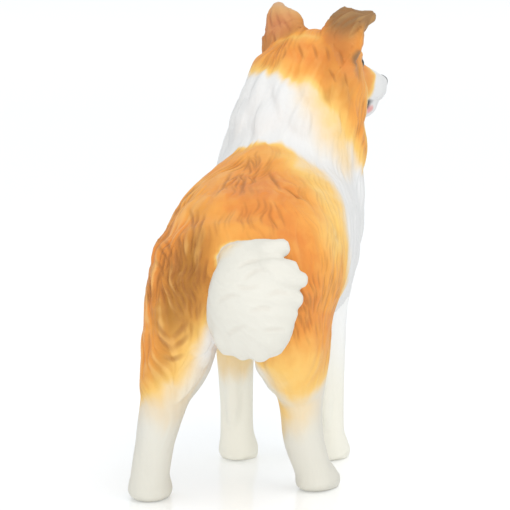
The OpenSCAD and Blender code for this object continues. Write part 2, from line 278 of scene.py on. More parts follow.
@dataclass(frozen=True)
class Ellipsoid:
    """A ball stretched along its own three axes."""

    centre: Array
    radii: Array
    axes: Array = field(default_factory=lambda: np.eye(3))

    def box(self) -> tuple[Array, Array]:
        """Low and high corners of a box round the form."""
        reach = np.linalg.norm(self.axes * self.radii[:, None], axis=0)
        return self.centre - reach, self.centre + reach

    def distance(self, points: Array) -> Array:
        """Near distance to the surface: k0 (k0 - 1) / k1.

        k0 is the length of the local place over the radii, and k1 its length over the radii squared.
        """
        local = (points - self.centre) @ self.axes.T
        k0 = np.linalg.norm(local / self.radii, axis=1)
        k1 = np.linalg.norm(local / self.radii**2, axis=1)
        return k0 * (k0 - 1) / np.maximum(k1, 1e-6)


@dataclass(frozen=True)
class Tube:
    """A superellipse carried along a curve through stations, with a dome on each end.

    Each station is a row of x, y, z, half width and half depth. The width lies along the lateral direction.
    """

    stations: Array
    lateral: Array = field(default_factory=lambda: vec(1, 0, 0))
    fullness: float = 2.0
    first_dome: float = 0.6
    last_dome: float = 0.6
    gap: float = 0.7

    DOME_ANGLES = (20, 40, 58, 72, 82)
    COLUMNS = (3, 6, 9, 12, 14, 16)
    BATCH = 1 << 17
    THINNEST = 0.05
    MIDDLE = 0.02
    PAST_END = 0.3

    def path(self) -> Array:
        """Samples of the curve, with the domes' sections shrinking as a quarter ellipse does."""
        body = curve_through(self.stations, self.gap)
        angles = np.radians(self.DOME_ANGLES)[:, None]
        domes = []
        for end, inner, height in ((0, 1, self.first_dome), (-1, -2, self.last_dome)):
            way = unit(body[end, :3] - body[inner, :3])
            places = body[end, :3] + way * height * np.sin(angles)
            domes.append(np.hstack([places, body[end, 3:] * np.cos(angles)]))
        return np.vstack([domes[0][::-1], body, domes[1]])

    def box(self) -> tuple[Array, Array]:
        """Low and high corners of a box round the form."""
        path = self.path()
        reach = path[:, 3:].max(axis=1)[:, None]
        return (path[:, :3] - reach).min(axis=0), (path[:, :3] + reach).max(axis=0)

    def distance(self, points: Array) -> Array:
        """Near distance to the surface, by way of the nearest sample of the path.

        In the sample's section, rho is the superellipse length of the place over the half sizes, and the
        distance is r (1 - 1 / rho) along the line from the middle. Past an end, the run beyond counts too.
        """
        path = self.path()
        centre = path[:, :3]
        along = unit(np.gradient(centre, axis=0))
        across = unit(self.lateral - along * (along @ self.lateral)[:, None])
        over = np.cross(along, across)
        run_to = np.concatenate([[0], np.cumsum(np.linalg.norm(np.diff(centre, axis=0), axis=1))])
        slope = np.gradient(path[:, 3:], run_to, axis=0)
        half_gap = np.gradient(run_to) / 2
        tables = np.hstack([centre, along, across, over, path[:, 3:], slope, half_gap[:, None]])
        tables = tables.astype(np.float32)
        found = np.empty(len(points), np.float32)
        size = (centre**2).sum(axis=1).astype(np.float32)
        for start in range(0, len(points), self.BATCH):
            part = points[start:start + self.BATCH]
            near = np.argmin(size - 2 * part @ tables[:, :3].T, axis=1)
            found[start:start + len(part)] = self.section_distance(part, tables[near])
        return found

    def section_distance(self, points: Array, row: Array) -> Array:
        """Distance of each point in the section that its table row describes.

        A row holds the centre, three directions, the half sizes, their slopes and half a gap.
        """
        centre, along, across, over, size, slope, half_gap = np.split(row, self.COLUMNS, axis=1)
        off = points - centre
        run = (off * along).sum(axis=1)
        held = np.clip(run, -half_gap[:, 0], half_gap[:, 0])
        half = np.maximum(size + slope * held[:, None], self.THINNEST)
        a = (off * across).sum(axis=1)
        b = (off * over).sum(axis=1)
        r = np.hypot(a, b)
        n = self.fullness
        rho = ((np.abs(a) / half[:, 0]) ** n + (np.abs(b) / half[:, 1]) ** n) ** (1 / n)
        flat = np.where(r > self.MIDDLE, r - r / np.maximum(rho, 1e-4), -half.min(axis=1))
        beyond = np.abs(run - held)
        return np.where(beyond > self.PAST_END, np.hypot(np.maximum(flat, 0), beyond), flat)


Form = Ellipsoid | Tube
LOCK_LEAST = 0.12
LOCK_ROOT = 0.22
LOCK_BLUNTED = 0.3
LOCK_SWELL = 0.8
LOCK_THIN = 0.25
LOCK_DOMES = (0.3, 0.5)
LOCK_GAP = 0.8


def lock(path: Array, outward: Array, width: float, thick: float, blunt: float = 0.0) -> Tube:
    """A tapered lock of hair along a path, broad in its middle and narrower at its end.

    The taper is a least share and the rest times a power of the sine over part of a half turn.

    Args:
        path: Places from the root to the tip.
        outward: Direction that the lock's flat side faces.
        width: Half width at the broadest place.
        thick: Half thickness there.
        blunt: 0 for a pointed end, up to 1 for a rounded one.

    Returns:
        The lock's tube.
    """
    full = curve_through(path, 0.25 * np.linalg.norm(path[-1] - path[0]))
    t = np.linspace(0, 1, len(full))
    angle = np.pi * (LOCK_ROOT + (1 - LOCK_ROOT - LOCK_BLUNTED * blunt) * t)
    taper = LOCK_LEAST + (1 - LOCK_LEAST) * np.sin(angle) ** LOCK_SWELL
    stations = np.column_stack([full, width * taper, thick * (LOCK_THIN + (1 - LOCK_THIN) * taper)])
    lateral = np.cross(unit(path[-1] - path[0]), outward)
    return Tube(stations, lateral, 2.0, *LOCK_DOMES, gap=LOCK_GAP)


class Clay:
    """The figure in the making: each voxel's distance to the surface, and the piece nearest to it."""

    FAR = 20.0
    MARGIN = 1.6

    def __init__(self, grid: VoxelGrid) -> None:
        """Starts with nothing on the grid."""
        self.grid = grid
        self.value = np.full(grid.shape, self.FAR, np.float32)
        self.nearest = np.full(grid.shape, self.FAR, np.float32)
        self.owner = np.zeros(grid.shape, np.int8)

    def measured(self, form: Form, reach: float, soft: int = 0) -> tuple[Window, Array]:
        """A window of the grid round a form, and the distances to the form there, blurred over rounds."""
        low, high = form.box()
        window = self.grid.window(low - reach, high + reach)
        distance = form.distance(self.grid.points(window)).reshape(self.value[window].shape)
        return window, softened(distance.astype(np.float32), soft)

    def add(self, form: Form, piece: Moulding, blend: float, soft: int = 0) -> None:
        """Adds a form to a piece, blended into what is there."""
        window, distance = self.measured(form, blend + self.MARGIN, soft)
        self.value[window] = smooth_min(self.value[window], distance, blend)
        closer = distance < self.nearest[window]
        self.nearest[window] = np.where(closer, distance, self.nearest[window])
        self.owner[window] = np.where(closer, piece.place, self.owner[window])

    def cut(self, form: Form, blend: float) -> None:
        """Cuts a form out of what is there, with its edges rounded."""
        window, distance = self.measured(form, blend + self.MARGIN)
        self.value[window] = -smooth_min(-self.value[window], distance, blend)

    def level(self) -> None:
        """Cuts everything off flat at the floor."""
        heights = self.grid.low[2] + self.grid.step * np.arange(self.grid.shape[2])
        self.value = np.maximum(self.value, -heights.astype(np.float32))

    def surface(self, inside: Array, way: Array, reach: float = 26.0) -> Array:
        """The place where a ray from inside last leaves the clay."""
        runs = np.arange(0, reach, self.grid.step / 4)[:, None]
        line = inside + unit(way) * runs
        held = self.grid.read(self.value, line) < 0
        return inside + unit(way) * runs[held].max(initial=0)


@dataclass(frozen=True)
class HeadPlace:
    """Where the head is, and which way it looks."""

    skull: Array = field(default_factory=lambda: vec(-7.9, -20.3, 69.5))
    turn: float = math.radians(24)

    @property
    def axes(self) -> Array:
        """Ahead, leftward and up, one row each."""
        s, c = math.sin(self.turn), math.cos(self.turn)
        return np.array([[-s, -c, 0], [c, -s, 0], [0, 0, 1.0]])

    def at(self, ahead: float, left: float, up: float) -> Array:
        """A place given from the skull's middle."""
        return self.skull + vec(ahead, left, up) @ self.axes

    def local(self, points: Array) -> Array:
        """Places given ahead, leftward and up from the skull's middle."""
        return (points - self.skull) @ self.axes.T


@dataclass(frozen=True)
class Torso:
    """Trunk from the chest to the rump: rows of x, y, low, high and width.

    The loins' rows hold y, z, half width and half depth, and the belly's start with x as well.
    """

    rows: tuple = (
        (-1.8, -20.3, 26.9, 52.5, 23.4),
        (-1.6, -14.3, 24.5, 56.5, 28.0),
        (-2.0, 1.7, 27.0, 54.0, 30.8),
        (-1.9, 17.7, 27.0, 51.4, 30.0),
        (-1.4, 24.3, 30.0, 48.0, 25.0),
    )
    fullness: float = 2.3
    chest_dome: float = 6.0
    rump_dome: float = 5.4
    loin: tuple = ((-9.0, 46.4, 5.6, 6.1), (1.0, 46.5, 6.7, 6.7), (11.0, 45.0, 6.4, 5.7))
    loin_apart: float = 6.3
    withers: Ellipsoid = Ellipsoid(vec(-1.8, -5.0, 49.5), vec(9.0, 12.0, 8.0))
    belly: tuple = ((-1.8, -9.0, 26.3, 6.0, 2.6), (-1.6, 0.0, 25.8, 6.5, 2.8), (-1.2, 9.0, 26.8, 5.0, 2.4))

    def model(self, clay: Clay) -> None:
        """Adds the trunk, the muscle along each loin, the withers and the hanging coat under the belly."""
        x, y, low, high, width = np.array(self.rows).T
        stations = np.column_stack([x, y, (low + high) / 2, width / 2, (high - low) / 2])
        trunk = Tube(stations, fullness=self.fullness, first_dome=self.chest_dome, last_dome=self.rump_dome)
        clay.add(trunk, Moulding.TORSO_LEFT, blend=1.0, soft=8)
        for side in SIDES:
            muscle = np.array([[x[2] + side * self.loin_apart, *row] for row in self.loin])
            clay.add(Tube(muscle, first_dome=4.0, last_dome=4.0), Moulding.TORSO_LEFT, blend=4.0, soft=4)
        clay.add(self.withers, Moulding.TORSO_LEFT, blend=3.0)
        clay.add(Tube(np.array(self.belly)), Moulding.TORSO_LEFT, blend=4.0)


@dataclass(frozen=True)
class Ruff:
    """Mane round the neck: rows of x, y, z, width and depth, from the apron to inside the head.

    A tier of locks is their top, their bottom, their count and their spread to each side in degrees.
    """

    rows: tuple = (
        (-1.8, -17.9, 36.5, 19.0, 19.0),
        (-3.1, -16.3, 51.3, 23.4, 26.0),
        (-4.5, -18.5, 62.0, 22.4, 22.2),
        (-5.9, -20.0, 68.5, 20.2, 18.5),
    )
    tiers: tuple = ((61, 50, 7, 100), (54, 42, 8, 95), (47, 35, 7, 80))
    nape: tuple = ((69.5, 62.0, 5, 50), (64.5, 58.5, 6, 62))
    bib: Ellipsoid = Ellipsoid(vec(-3.2, -24.0, 46.0), vec(9.0, 6.5, 13.0))
    bib_thick: float = 1.1
    nape_thick: float = 0.75
    lock_width: float = 2.0
    lift: tuple = (-0.7, -0.1, 0.1, -0.25)
    core: tuple = (-3.2, -18.5)
    fan: float = 0.25
    sweep: float = 0.1

    def model(self, clay: Clay) -> None:
        """Adds the mane and its locks over the chest, the shoulders and the nape."""
        rows = np.array(self.rows)
        stations = np.column_stack([rows[:, :3], rows[:, 3:] / 2])
        clay.add(Tube(stations, first_dome=5.2, last_dome=3.0), Moulding.RUFF, blend=3.6, soft=6)
        clay.add(self.bib, Moulding.RUFF, blend=4.0)
        for tiers, facing, thick in ((self.tiers, 0, self.bib_thick), (self.nape, 180, self.nape_thick)):
            for high, low, count, spread in tiers:
                for angle in np.radians(facing + np.linspace(-spread, spread, count)):
                    self.hang(clay, angle, high, low, thick)

    def hang(self, clay: Clay, angle: float, high: float, low: float, thick: float) -> None:
        """Hangs one lock down the mane, at an angle from straight ahead."""
        way = vec(math.sin(angle), -math.cos(angle), 0)
        drift = vec(self.fan * math.sin(angle), self.sweep, 0)
        heights = np.linspace(high, low, len(self.lift))
        places = [clay.surface(vec(*self.core, z), way + drift * k) for k, z in enumerate(heights)]
        path = np.array(places) + way * np.array(self.lift)[:, None]
        clay.add(lock(path, way, self.lock_width, thick), Moulding.RUFF, blend=0.7)


@dataclass(frozen=True)
class Head:
    """Skull, muzzle, eyes and nose.

    Rows hold places ahead and up, half width and half depth. A ball is its place ahead, left and up, with
    its radii. A cheek lock is its place ahead, its top and its drop, and its course leads on, outward and
    down a share of the drop.
    """

    place: HeadPlace
    rows: tuple = (
        (-4.0, 0.0, 6.6, 5.7),
        (0.0, -0.7, 7.0, 7.0),
        (4.5, -1.5, 5.3, 6.0),
        (8.0, -2.4, 4.1, 4.7),
        (11.5, -3.1, 3.6, 3.9),
        (15.0, -3.6, 3.2, 3.3),
        (17.6, -3.7, 2.35, 2.6),
    )
    jaw: tuple = (
        (5.0, -6.9, 3.2, 2.3),
        (10.0, -7.5, 2.8, 2.0),
        (14.0, -7.2, 2.2, 1.7),
        (15.8, -6.8, 1.6, 1.3),
    )
    cranium: tuple = ((-1.5, 0.0, 0.8), (7.6, 7.2, 6.5))
    occiput: tuple = ((-5.0, 4.0, -1.0), (4.5, 6.3, 6.4))
    nose: tuple = ((19.1, 0.0, -2.7), (1.25, 1.85, 1.35))
    nostril: tuple = ((20.05, 0.75, -2.65), (0.5, 0.4, 0.4))
    cheek: tuple = ((0.5, 4.1, -3.4), (4.6, 3.0, 4.5))
    brow: tuple = ((6.4, 2.5, 2.6), (2.4, 1.5, 1.1))
    eye_hollow: tuple = ((8.5, 4.2, 1.1), (2.0, 1.1, 1.3))
    eye: tuple = ((7.3, 3.0, 1.1), (1.1, 1.1, 1.1))
    mouth: tuple = ((11.0, 3.0, -6.4), (12.8, 2.8, -6.2), (15.4, 2.4, -5.7), (17.4, 1.8, -5.4))
    mouth_r: float = 0.38
    cheek_locks: tuple = ((2.6, -3.0, 6.0), (0.4, -2.0, 8.0), (-2.0, -1.0, 9.0))
    lock_course: tuple = ((0.8, 5.5, 0.0), (-0.6, 6.6, 0.5), (-3.0, 7.4, 1.0))

    def ball(self, form: tuple, side: int = LEFT) -> Ellipsoid:
        """One of the balls, on either side of the head."""
        (ahead, left, up), radii = form
        return Ellipsoid(self.place.at(ahead, side * left, up), vec(*radii), self.place.axes)

    def tube(self, rows: tuple, *domes: float, fullness: float = 2.0) -> Tube:
        """A tube along the middle of the head, from its rows."""
        stations = np.array([[*self.place.at(ahead, 0, up), w, d] for ahead, up, w, d in rows])
        return Tube(stations, self.place.axes[1], fullness, *domes)

    def model(self, clay: Clay) -> None:
        """Adds the skull, muzzle and jaw, then the cheeks, brows, eyes, nose and mouth."""
        clay.add(self.tube(self.rows, 3.4, 1.8, fullness=2.3), Moulding.HEAD, blend=2.2)
        clay.add(self.tube(self.jaw, 0.6, 1.0), Moulding.HEAD, blend=0.8)
        clay.add(self.ball(self.cranium), Moulding.HEAD, blend=2.0)
        clay.add(self.ball(self.occiput), Moulding.HEAD, blend=3.0)
        for side in SIDES:
            self.model_side(clay, side)
        clay.add(self.ball(self.nose), Moulding.HEAD, blend=0.5)
        for side in SIDES:
            clay.cut(self.ball(self.nostril, side), blend=0.25)

    def model_side(self, clay: Clay, side: int) -> None:
        """Adds one cheek with its hanging locks, one brow and one eye, and cuts that side's mouth line."""
        at, axes = self.place.at, self.place.axes
        clay.add(self.ball(self.cheek, side), Moulding.HEAD, blend=2.5)
        clay.add(self.ball(self.brow, side), Moulding.HEAD, blend=1.6)
        clay.cut(self.ball(self.eye_hollow, side), blend=1.0)
        clay.add(self.ball(self.eye, side), Moulding.HEAD, blend=0.15)
        half = (self.mouth_r, self.mouth_r)
        mouth = np.array([[*at(ahead, side * left, up), *half] for ahead, left, up in self.mouth])
        clay.cut(Tube(mouth, axes[2]), blend=0.3)
        for ahead, up, drop in self.cheek_locks:
            course = [at(ahead + on, side * out, up - share * drop) for on, out, share in self.lock_course]
            hair = lock(np.array(course), axes[1] * side, width=1.9, thick=1.0)
            clay.add(hair, Moulding.HEAD, blend=1.2)


@dataclass(frozen=True)
class Ear:
    """Half-raised ear: its plate and its folded tip.

    Rows hold places ahead, outward and up, half width and half thickness.
    """

    place: HeadPlace
    side: int
    rows: tuple
    fold: tuple
    hollow_off: tuple = (2.3, 0.2, -0.3)
    hollow_r: tuple = (1.5, 2.4, 3.8)

    def stations(self, rows: tuple) -> Array:
        """Rows as a tube's stations."""
        at, side = self.place.at, self.side
        return np.array([[*at(ahead, side * out, up), *half] for ahead, out, up, *half in rows])

    def model(self, clay: Clay) -> None:
        """Adds the ear's plate, hollows out its front, and folds its tip over."""
        at, axes = self.place.at, self.place.axes
        piece = Moulding.sided(self.side, "ear")
        clay.add(Tube(self.stations(self.rows), axes[1], 2.2, 1.0, 1.0), piece, blend=1.4)
        ahead, out, up = np.add(self.rows[2][:3], self.hollow_off)
        clay.cut(Ellipsoid(at(ahead, self.side * out, up), vec(*self.hollow_r), axes), blend=0.8)
        clay.add(Tube(self.stations(self.fold), axes[1], 2.2, 0.8, 0.8), piece, blend=0.6)


@dataclass(frozen=True)
class Paw:
    """Four-toed paw flat on the floor: its pad's place ahead and up, its toes' places beside and ahead."""

    at: Array
    turn: float
    pad_off: tuple = (1.7, 0.9)
    pad_r: tuple = (3.4, 3.4, 3.7)
    toes: tuple = ((-2.3, 2.9), (-0.8, 3.9), (0.8, 3.9), (2.3, 2.9))
    toe_up: float = 1.1
    toe_r: tuple = (0.98, 2.2, 1.7)

    def model(self, clay: Clay, piece: Moulding) -> None:
        """Adds the pad's dome, then the toes side by side at its front."""
        ahead = vec(math.sin(self.turn), -math.cos(self.turn), 0)
        beside = vec(math.cos(self.turn), math.sin(self.turn), 0)
        axes = np.array([beside, ahead, vec(0, 0, 1)])
        forward, up = self.pad_off
        pad = Ellipsoid(self.at + ahead * forward + vec(0, 0, up), vec(*self.pad_r), axes)
        clay.add(pad, piece, blend=2.6)
        for off, forward in self.toes:
            toe = self.at + beside * off + ahead * forward + vec(0, 0, self.toe_up)
            clay.add(Ellipsoid(toe, vec(*self.toe_r), axes), piece, blend=0.35)


@dataclass(frozen=True)
class Foreleg:
    """Straight foreleg: rows of y off the paw, z, half width and half depth, from the chest to the paw.

    A feather is its top and its drop, on a back that leans off the paw. Its course leads outward, backward
    and down a share of the drop.
    """

    side: int
    paw: Array
    rows: tuple = (
        (2.3, 30.5, 3.9, 4.9),
        (2.3, 22.5, 3.4, 4.1),
        (1.0, 11.0, 2.9, 3.1),
        (0.6, 4.1, 2.9, 3.1),
        (0.0, 1.4, 2.6, 2.9),
    )
    toe_out: float = math.radians(4)
    feathers: tuple = ((26.0, 7.0), (21.5, 7.0), (17.0, 6.5), (13.0, 6.0))
    course: tuple = ((0.0, 0.0, 0.0), (0.0, 0.5, 0.5), (0.2, 0.1, 1.0))
    back: float = 2.2
    back_lean: float = 0.13

    def model(self, clay: Clay) -> None:
        """Adds the leg, its paw, and the feathering down its back."""
        piece = Moulding.sided(self.side, "foreleg")
        stations = np.array([[self.paw[0], self.paw[1] + y, z, w, d] for y, z, w, d in self.rows])
        clay.add(Tube(stations, fullness=2.2, first_dome=2.9), piece, blend=2.4)
        Paw(self.paw, self.side * self.toe_out).model(clay, piece)
        for high, drop in self.feathers:
            root = self.paw + vec(0, self.back + self.back_lean * high, high)
            path = [root + vec(out * self.side, back, -share * drop) for out, back, share in self.course]
            hair = lock(np.array(path), vec(1, 0, 0), width=1.2, thick=1.1)
            clay.add(hair, piece, blend=1.2)


@dataclass(frozen=True)
class HindLeg:
    """Hind leg: rows of x, y, z, half width and half depth, from the haunch to the paw.

    A feather is its low end; its places rise from there, and lift off the skin along the feathers' way.
    """

    side: int
    paw: Array
    rows: tuple
    breech: tuple
    toe_out: float
    feathers: tuple = (25.0, 21.5, 18.0)
    feather_way: tuple = (-0.66, 0.75)
    feather_rise: tuple = (5.0, 2.5, 0.0)
    feather_lift: tuple = (-0.6, 0.0, 0.35)
    feather_reach: float = 12.0

    def model(self, clay: Clay) -> None:
        """Adds the thigh and shank, the breeches that fill them out, the paw and the feathering."""
        piece = Moulding.sided(self.side, "hind_leg")
        clay.add(Tube(np.array(self.rows), fullness=2.1, first_dome=3.0), piece, blend=2.6, soft=4)
        clay.add(Tube(np.array(self.breech), first_dome=3.0, last_dome=3.0), piece, blend=3.0, soft=4)
        Paw(self.paw, self.side * self.toe_out).model(clay, piece)
        inward, backward = self.feather_way
        way = unit(vec(inward * self.side, backward, 0))
        x, y, z = np.array(self.rows)[::-1, :3].T
        for low in self.feathers:
            heights = low + vec(*self.feather_rise)
            axis = np.column_stack([np.interp(heights, z, x), np.interp(heights, z, y), heights])
            places = [clay.surface(place, way, self.feather_reach) for place in axis]
            path = np.array(places) + way * np.array(self.feather_lift)[:, None]
            clay.add(lock(path, way, width=1.5, thick=0.9), piece, blend=0.8)


@dataclass(frozen=True)
class Tail:
    """Plumed tail that sweeps to the dog's right: the plume's rows, and the locks along its edge."""

    rows: tuple = (
        (-1.4, 24.8, 40.2, 3.5, 2.5),
        (-4.0, 30.6, 41.6, 4.4, 3.4),
        (-5.2, 33.8, 37.7, 6.5, 4.2),
        (-6.0, 34.0, 32.6, 6.7, 4.0),
        (-5.3, 32.6, 28.6, 5.2, 2.9),
    )
    edge: tuple = (
        ((-2.2, 31.6, 42.6), (-5.4, 32.4, 43.7), (-8.6, 32.6, 44.2), 1.7),
        ((-5.0, 33.0, 42.6), (-8.4, 33.8, 43.7), (-11.0, 32.6, 44.3), 1.7),
        ((-6.0, 35.4, 40.2), (-9.4, 35.6, 41.2), (-12.6, 33.8, 41.0), 1.7),
        ((-6.5, 35.8, 38.4), (-10.6, 35.8, 39.6), (-14.2, 33.8, 39.3), 1.6),
        ((-6.5, 36.2, 36.4), (-10.2, 36.2, 36.8), (-13.4, 34.2, 36.2), 1.6),
        ((-6.5, 36.4, 34.4), (-9.8, 36.2, 34.4), (-12.4, 34.2, 33.9), 1.5),
        ((-6.5, 36.4, 32.6), (-9.2, 36.0, 32.2), (-11.3, 34.2, 31.5), 1.5),
        ((-6.5, 36.2, 31.4), (-8.6, 35.6, 30.2), (-9.8, 34.0, 28.9), 1.6),
        ((-5.6, 35.8, 31.0), (-6.8, 35.0, 28.6), (-7.4, 33.4, 26.9), 1.9),
        ((-3.6, 35.2, 31.6), (-4.0, 34.4, 29.0), (-4.8, 33.0, 27.1), 2.0),
        ((-1.8, 34.6, 33.0), (-1.4, 34.2, 30.0), (-2.0, 32.8, 27.6), 1.8),
        ((-1.6, 34.0, 37.0), (-0.2, 33.6, 33.6), (-0.4, 32.8, 30.4), 1.8),
        ((-3.4, 33.2, 41.3), (-1.2, 33.0, 39.0), (0.0, 32.4, 36.2), 1.7),
    )
    facing: tuple = (-0.1, 1.0, 0.1)
    lock_thick: float = 1.5
    blunt: float = 0.8

    def model(self, clay: Clay) -> None:
        """Adds the plume, then its locks."""
        clay.add(Tube(np.array(self.rows), first_dome=1.8, last_dome=1.4), Moulding.TAIL, blend=0.8)
        for root, middle, tip, width in self.edge:
            path = np.array([root, middle, tip])
            hair = lock(path, vec(*self.facing), width, self.lock_thick, self.blunt)
            clay.add(hair, Moulding.TAIL, blend=0.9)


def sides_of(quads: Array) -> tuple[Array, Array]:
    """The faces' sides, each running as its face does, and a number that the two sides of an edge share."""
    sides = np.stack([quads, np.roll(quads, -1, axis=1)], axis=-1).reshape(-1, 2)
    ordered = np.sort(sides, axis=1)
    return sides, ordered[:, 0].astype(np.int64) * (quads.max() + 1) + ordered[:, 1]


def grouped(count: int, a: Array, b: Array) -> Array:
    """One number for each group of items that pairs join.

    Each item takes the least number among its partners, over and over, until every group has one number.
    """
    group = np.arange(count)
    while True:
        least = np.minimum(group[a], group[b])
        fresh = group.copy()
        np.minimum.at(fresh, a, least)
        np.minimum.at(fresh, b, least)
        fresh = fresh[fresh]
        if (fresh == group).all():
            return group
        group = fresh


@dataclass(frozen=True)
class Skin:
    """A closed sheet of four-sided faces over the clay, and the piece that each face belongs to."""

    points: Array
    quads: Array
    piece: Array

    SEAM_ROUNDS = 8

    def sides(self) -> tuple[Array, Array]:
        """Every edge once, and each face's four places among the edges."""
        pairs, key = sides_of(self.quads)
        _, first, place = np.unique(key, return_index=True, return_inverse=True)
        return np.sort(pairs[first], axis=1), place.reshape(-1, 4)

    def normals(self) -> Array:
        """Outward direction at each point: the mean of its faces' crossed diagonals."""
        p = self.points[self.quads]
        facing = np.cross(p[:, 2] - p[:, 0], p[:, 3] - p[:, 1])
        corners, count = self.quads.ravel(), len(self.points)
        total = [np.bincount(corners, np.repeat(facing[:, k], 4), count) for k in range(3)]
        return unit(np.column_stack(total))

    def smoothed(self, values: Array, rounds: int) -> Array:
        """Point values, each moved to the mean of its neighbours, over some rounds."""
        edges, _ = self.sides()
        a, b = np.concatenate([edges, edges[:, ::-1]]).T
        count = np.bincount(a, minlength=len(self.points))
        columns = values.reshape(len(values), -1).astype(float)
        for _ in range(rounds):
            columns = np.column_stack([
                np.bincount(a, column[b], len(self.points)) / np.maximum(count, 1) for column in columns.T
            ])
        return columns.reshape(values.shape)

    @cached_property
    def belonging(self) -> Array:
        """How far each point belongs to each piece, one column a piece, softened across the seams."""
        held = np.zeros((len(self.points), len(Moulding)))
        held[self.quads.ravel(), np.repeat(self.piece, 4)] = 1
        return self.smoothed(held / held.sum(axis=1, keepdims=True), self.SEAM_ROUNDS)

    def held_by(self, pieces: tuple) -> Array:
        """How far each point belongs to some of the pieces."""
        return self.belonging[:, [piece.place for piece in pieces]].sum(axis=1)

    def refined(self) -> "Skin":
        """The same sheet with each face split in four, through its edges' middles and its own."""
        edges, place = self.sides()
        middles = self.points[edges].mean(axis=1)
        centres = self.points[self.quads].mean(axis=1)
        e = len(self.points) + place
        c = len(self.points) + len(edges) + np.arange(len(self.quads))
        quarters = [np.column_stack([self.quads[:, k], e[:, k], c, e[:, k - 1]]) for k in range(4)]
        quads = np.stack(quarters, axis=1).reshape(-1, 4)
        return Skin(np.vstack([self.points, middles, centres]), quads, np.repeat(self.piece, 4))


def net_points(value: Array, cell: Array) -> Array:
    """The mean of the places where the surface cuts each cell's edges, in steps of the grid."""
    total = np.zeros((len(cell), 3))
    hits = np.zeros(len(cell))
    for axis in range(3):
        others = [k for k in range(3) if k != axis]
        for o1, o2 in np.ndindex(2, 2):
            start = np.zeros(3, int)
            start[others] = (o1, o2)
            end = start.copy()
            end[axis] = 1
            a = value[tuple((cell + start).T)]
            b = value[tuple((cell + end).T)]
            cut = (a < 0) != (b < 0)
            t = np.where(cut, a / np.where(cut, a - b, 1), 0)
            total += np.where(cut[:, None], start + t[:, None] * (end - start), 0)
            hits += cut
    return cell + total / hits[:, None]


def net_faces(inside: Array, index: Array) -> Array:
    """One face for each grid edge that the surface cuts, through the points of the four cells round it."""
    faces = []
    for axis in range(3):
        e1, e2 = np.eye(3, dtype=int)[[(axis + 1) % 3, (axis + 2) % 3]]
        ahead = np.moveaxis(inside, axis, 0)
        change = np.moveaxis(ahead[:-1] != ahead[1:], 0, axis)
        spot = np.argwhere(change)
        spot = spot[(spot @ e1 > 0) & (spot @ e2 > 0)]
        spot = spot[(spot < np.array(index.shape)).all(axis=1)]
        ring = [index[tuple((spot - off).T)] for off in (e1 + e2, e2, 0 * e1, e1)]
        quad = np.column_stack(ring)
        outward = inside[tuple(spot.T)]
        faces.append(np.where(outward[:, None], quad, quad[:, ::-1]))
    return np.concatenate(faces)


def skinned(clay: Clay) -> Skin:
    """Covers the clay by surface nets: a point in each cell that the surface crosses, and faces between.

    Args:
        clay: The modelled figure.

    Returns:
        The sheet, with each face's piece read from the nearest voxel.
    """
    inside = clay.value < 0
    cells = tuple(n - 1 for n in inside.shape)
    corner = [tuple(slice(o, o + n) for o, n in zip(off, cells)) for off in np.ndindex(2, 2, 2)]
    count = sum(inside[c].astype(np.int8) for c in corner)
    crossed = (count > 0) & (count < len(corner))
    index = np.full(cells, -1, np.int64)
    index[crossed] = np.arange(crossed.sum())
    points = clay.grid.low + clay.grid.step * net_points(clay.value, np.argwhere(crossed))
    quads = net_faces(inside, index)
    middle = points[quads].mean(axis=1)
    near = np.rint((middle - clay.grid.low) / clay.grid.step).astype(int)
    return Skin(points, quads, clay.owner[tuple(near.T)].astype(int))


VOTES = 6
OWN_VOTE = 1.5
STRAY_SWEEPS = 3
STRAY_VOTES = 40


def parted(skin: Skin, plane: float) -> Skin:
    """Splits the torso at its parting plane and gives each piece one clean patch.

    Args:
        skin: The sheet, with all of the torso given to its left half.
        plane: Place of the parting plane along x.

    Returns:
        The sheet with its pieces settled by the vote of neighbouring faces, without islands.
    """
    left, right = Moulding.TORSO_LEFT.place, Moulding.TORSO_RIGHT.place
    _, place = skin.sides()
    order = np.argsort(place.ravel(), kind="stable")
    same = np.diff(place.ravel()[order]) == 0
    a, b = order[:-1][same] // 4, order[1:][same] // 4
    piece = skin.piece.copy()
    for _ in range(VOTES):
        piece = voted(piece, a, b, OWN_VOTE)
    middle_x = skin.points[skin.quads].mean(axis=1)[:, 0]
    piece = np.where((piece == left) & (middle_x < plane), right, piece)
    for _ in range(STRAY_SWEEPS):
        stray = strays(piece, a, b)
        if not stray.any():
            break
        for _ in range(STRAY_VOTES):
            piece = np.where(stray, voted(piece, a, b, 0.0), piece)
    return Skin(skin.points, skin.quads, piece)


def voted(piece: Array, a: Array, b: Array, own: float) -> Array:
    """Each face's piece by a vote of its neighbours, with a weight on its own."""
    votes = np.zeros((len(piece), len(Moulding)))
    votes[np.arange(len(piece)), piece] = own
    np.add.at(votes, (a, piece[b]), 1)
    np.add.at(votes, (b, piece[a]), 1)
    return votes.argmax(axis=1)


def strays(piece: Array, a: Array, b: Array) -> Array:
    """Marks the faces that aren't in the largest patch of their piece."""
    joined = piece[a] == piece[b]
    patch = grouped(len(piece), a[joined], b[joined])
    size = np.bincount(patch, minlength=len(piece))
    stray = np.zeros(len(piece), bool)
    for number in np.unique(piece):
        held = piece == number
        stray |= held & (patch != patch[held][size[patch[held]].argmax()])
    return stray


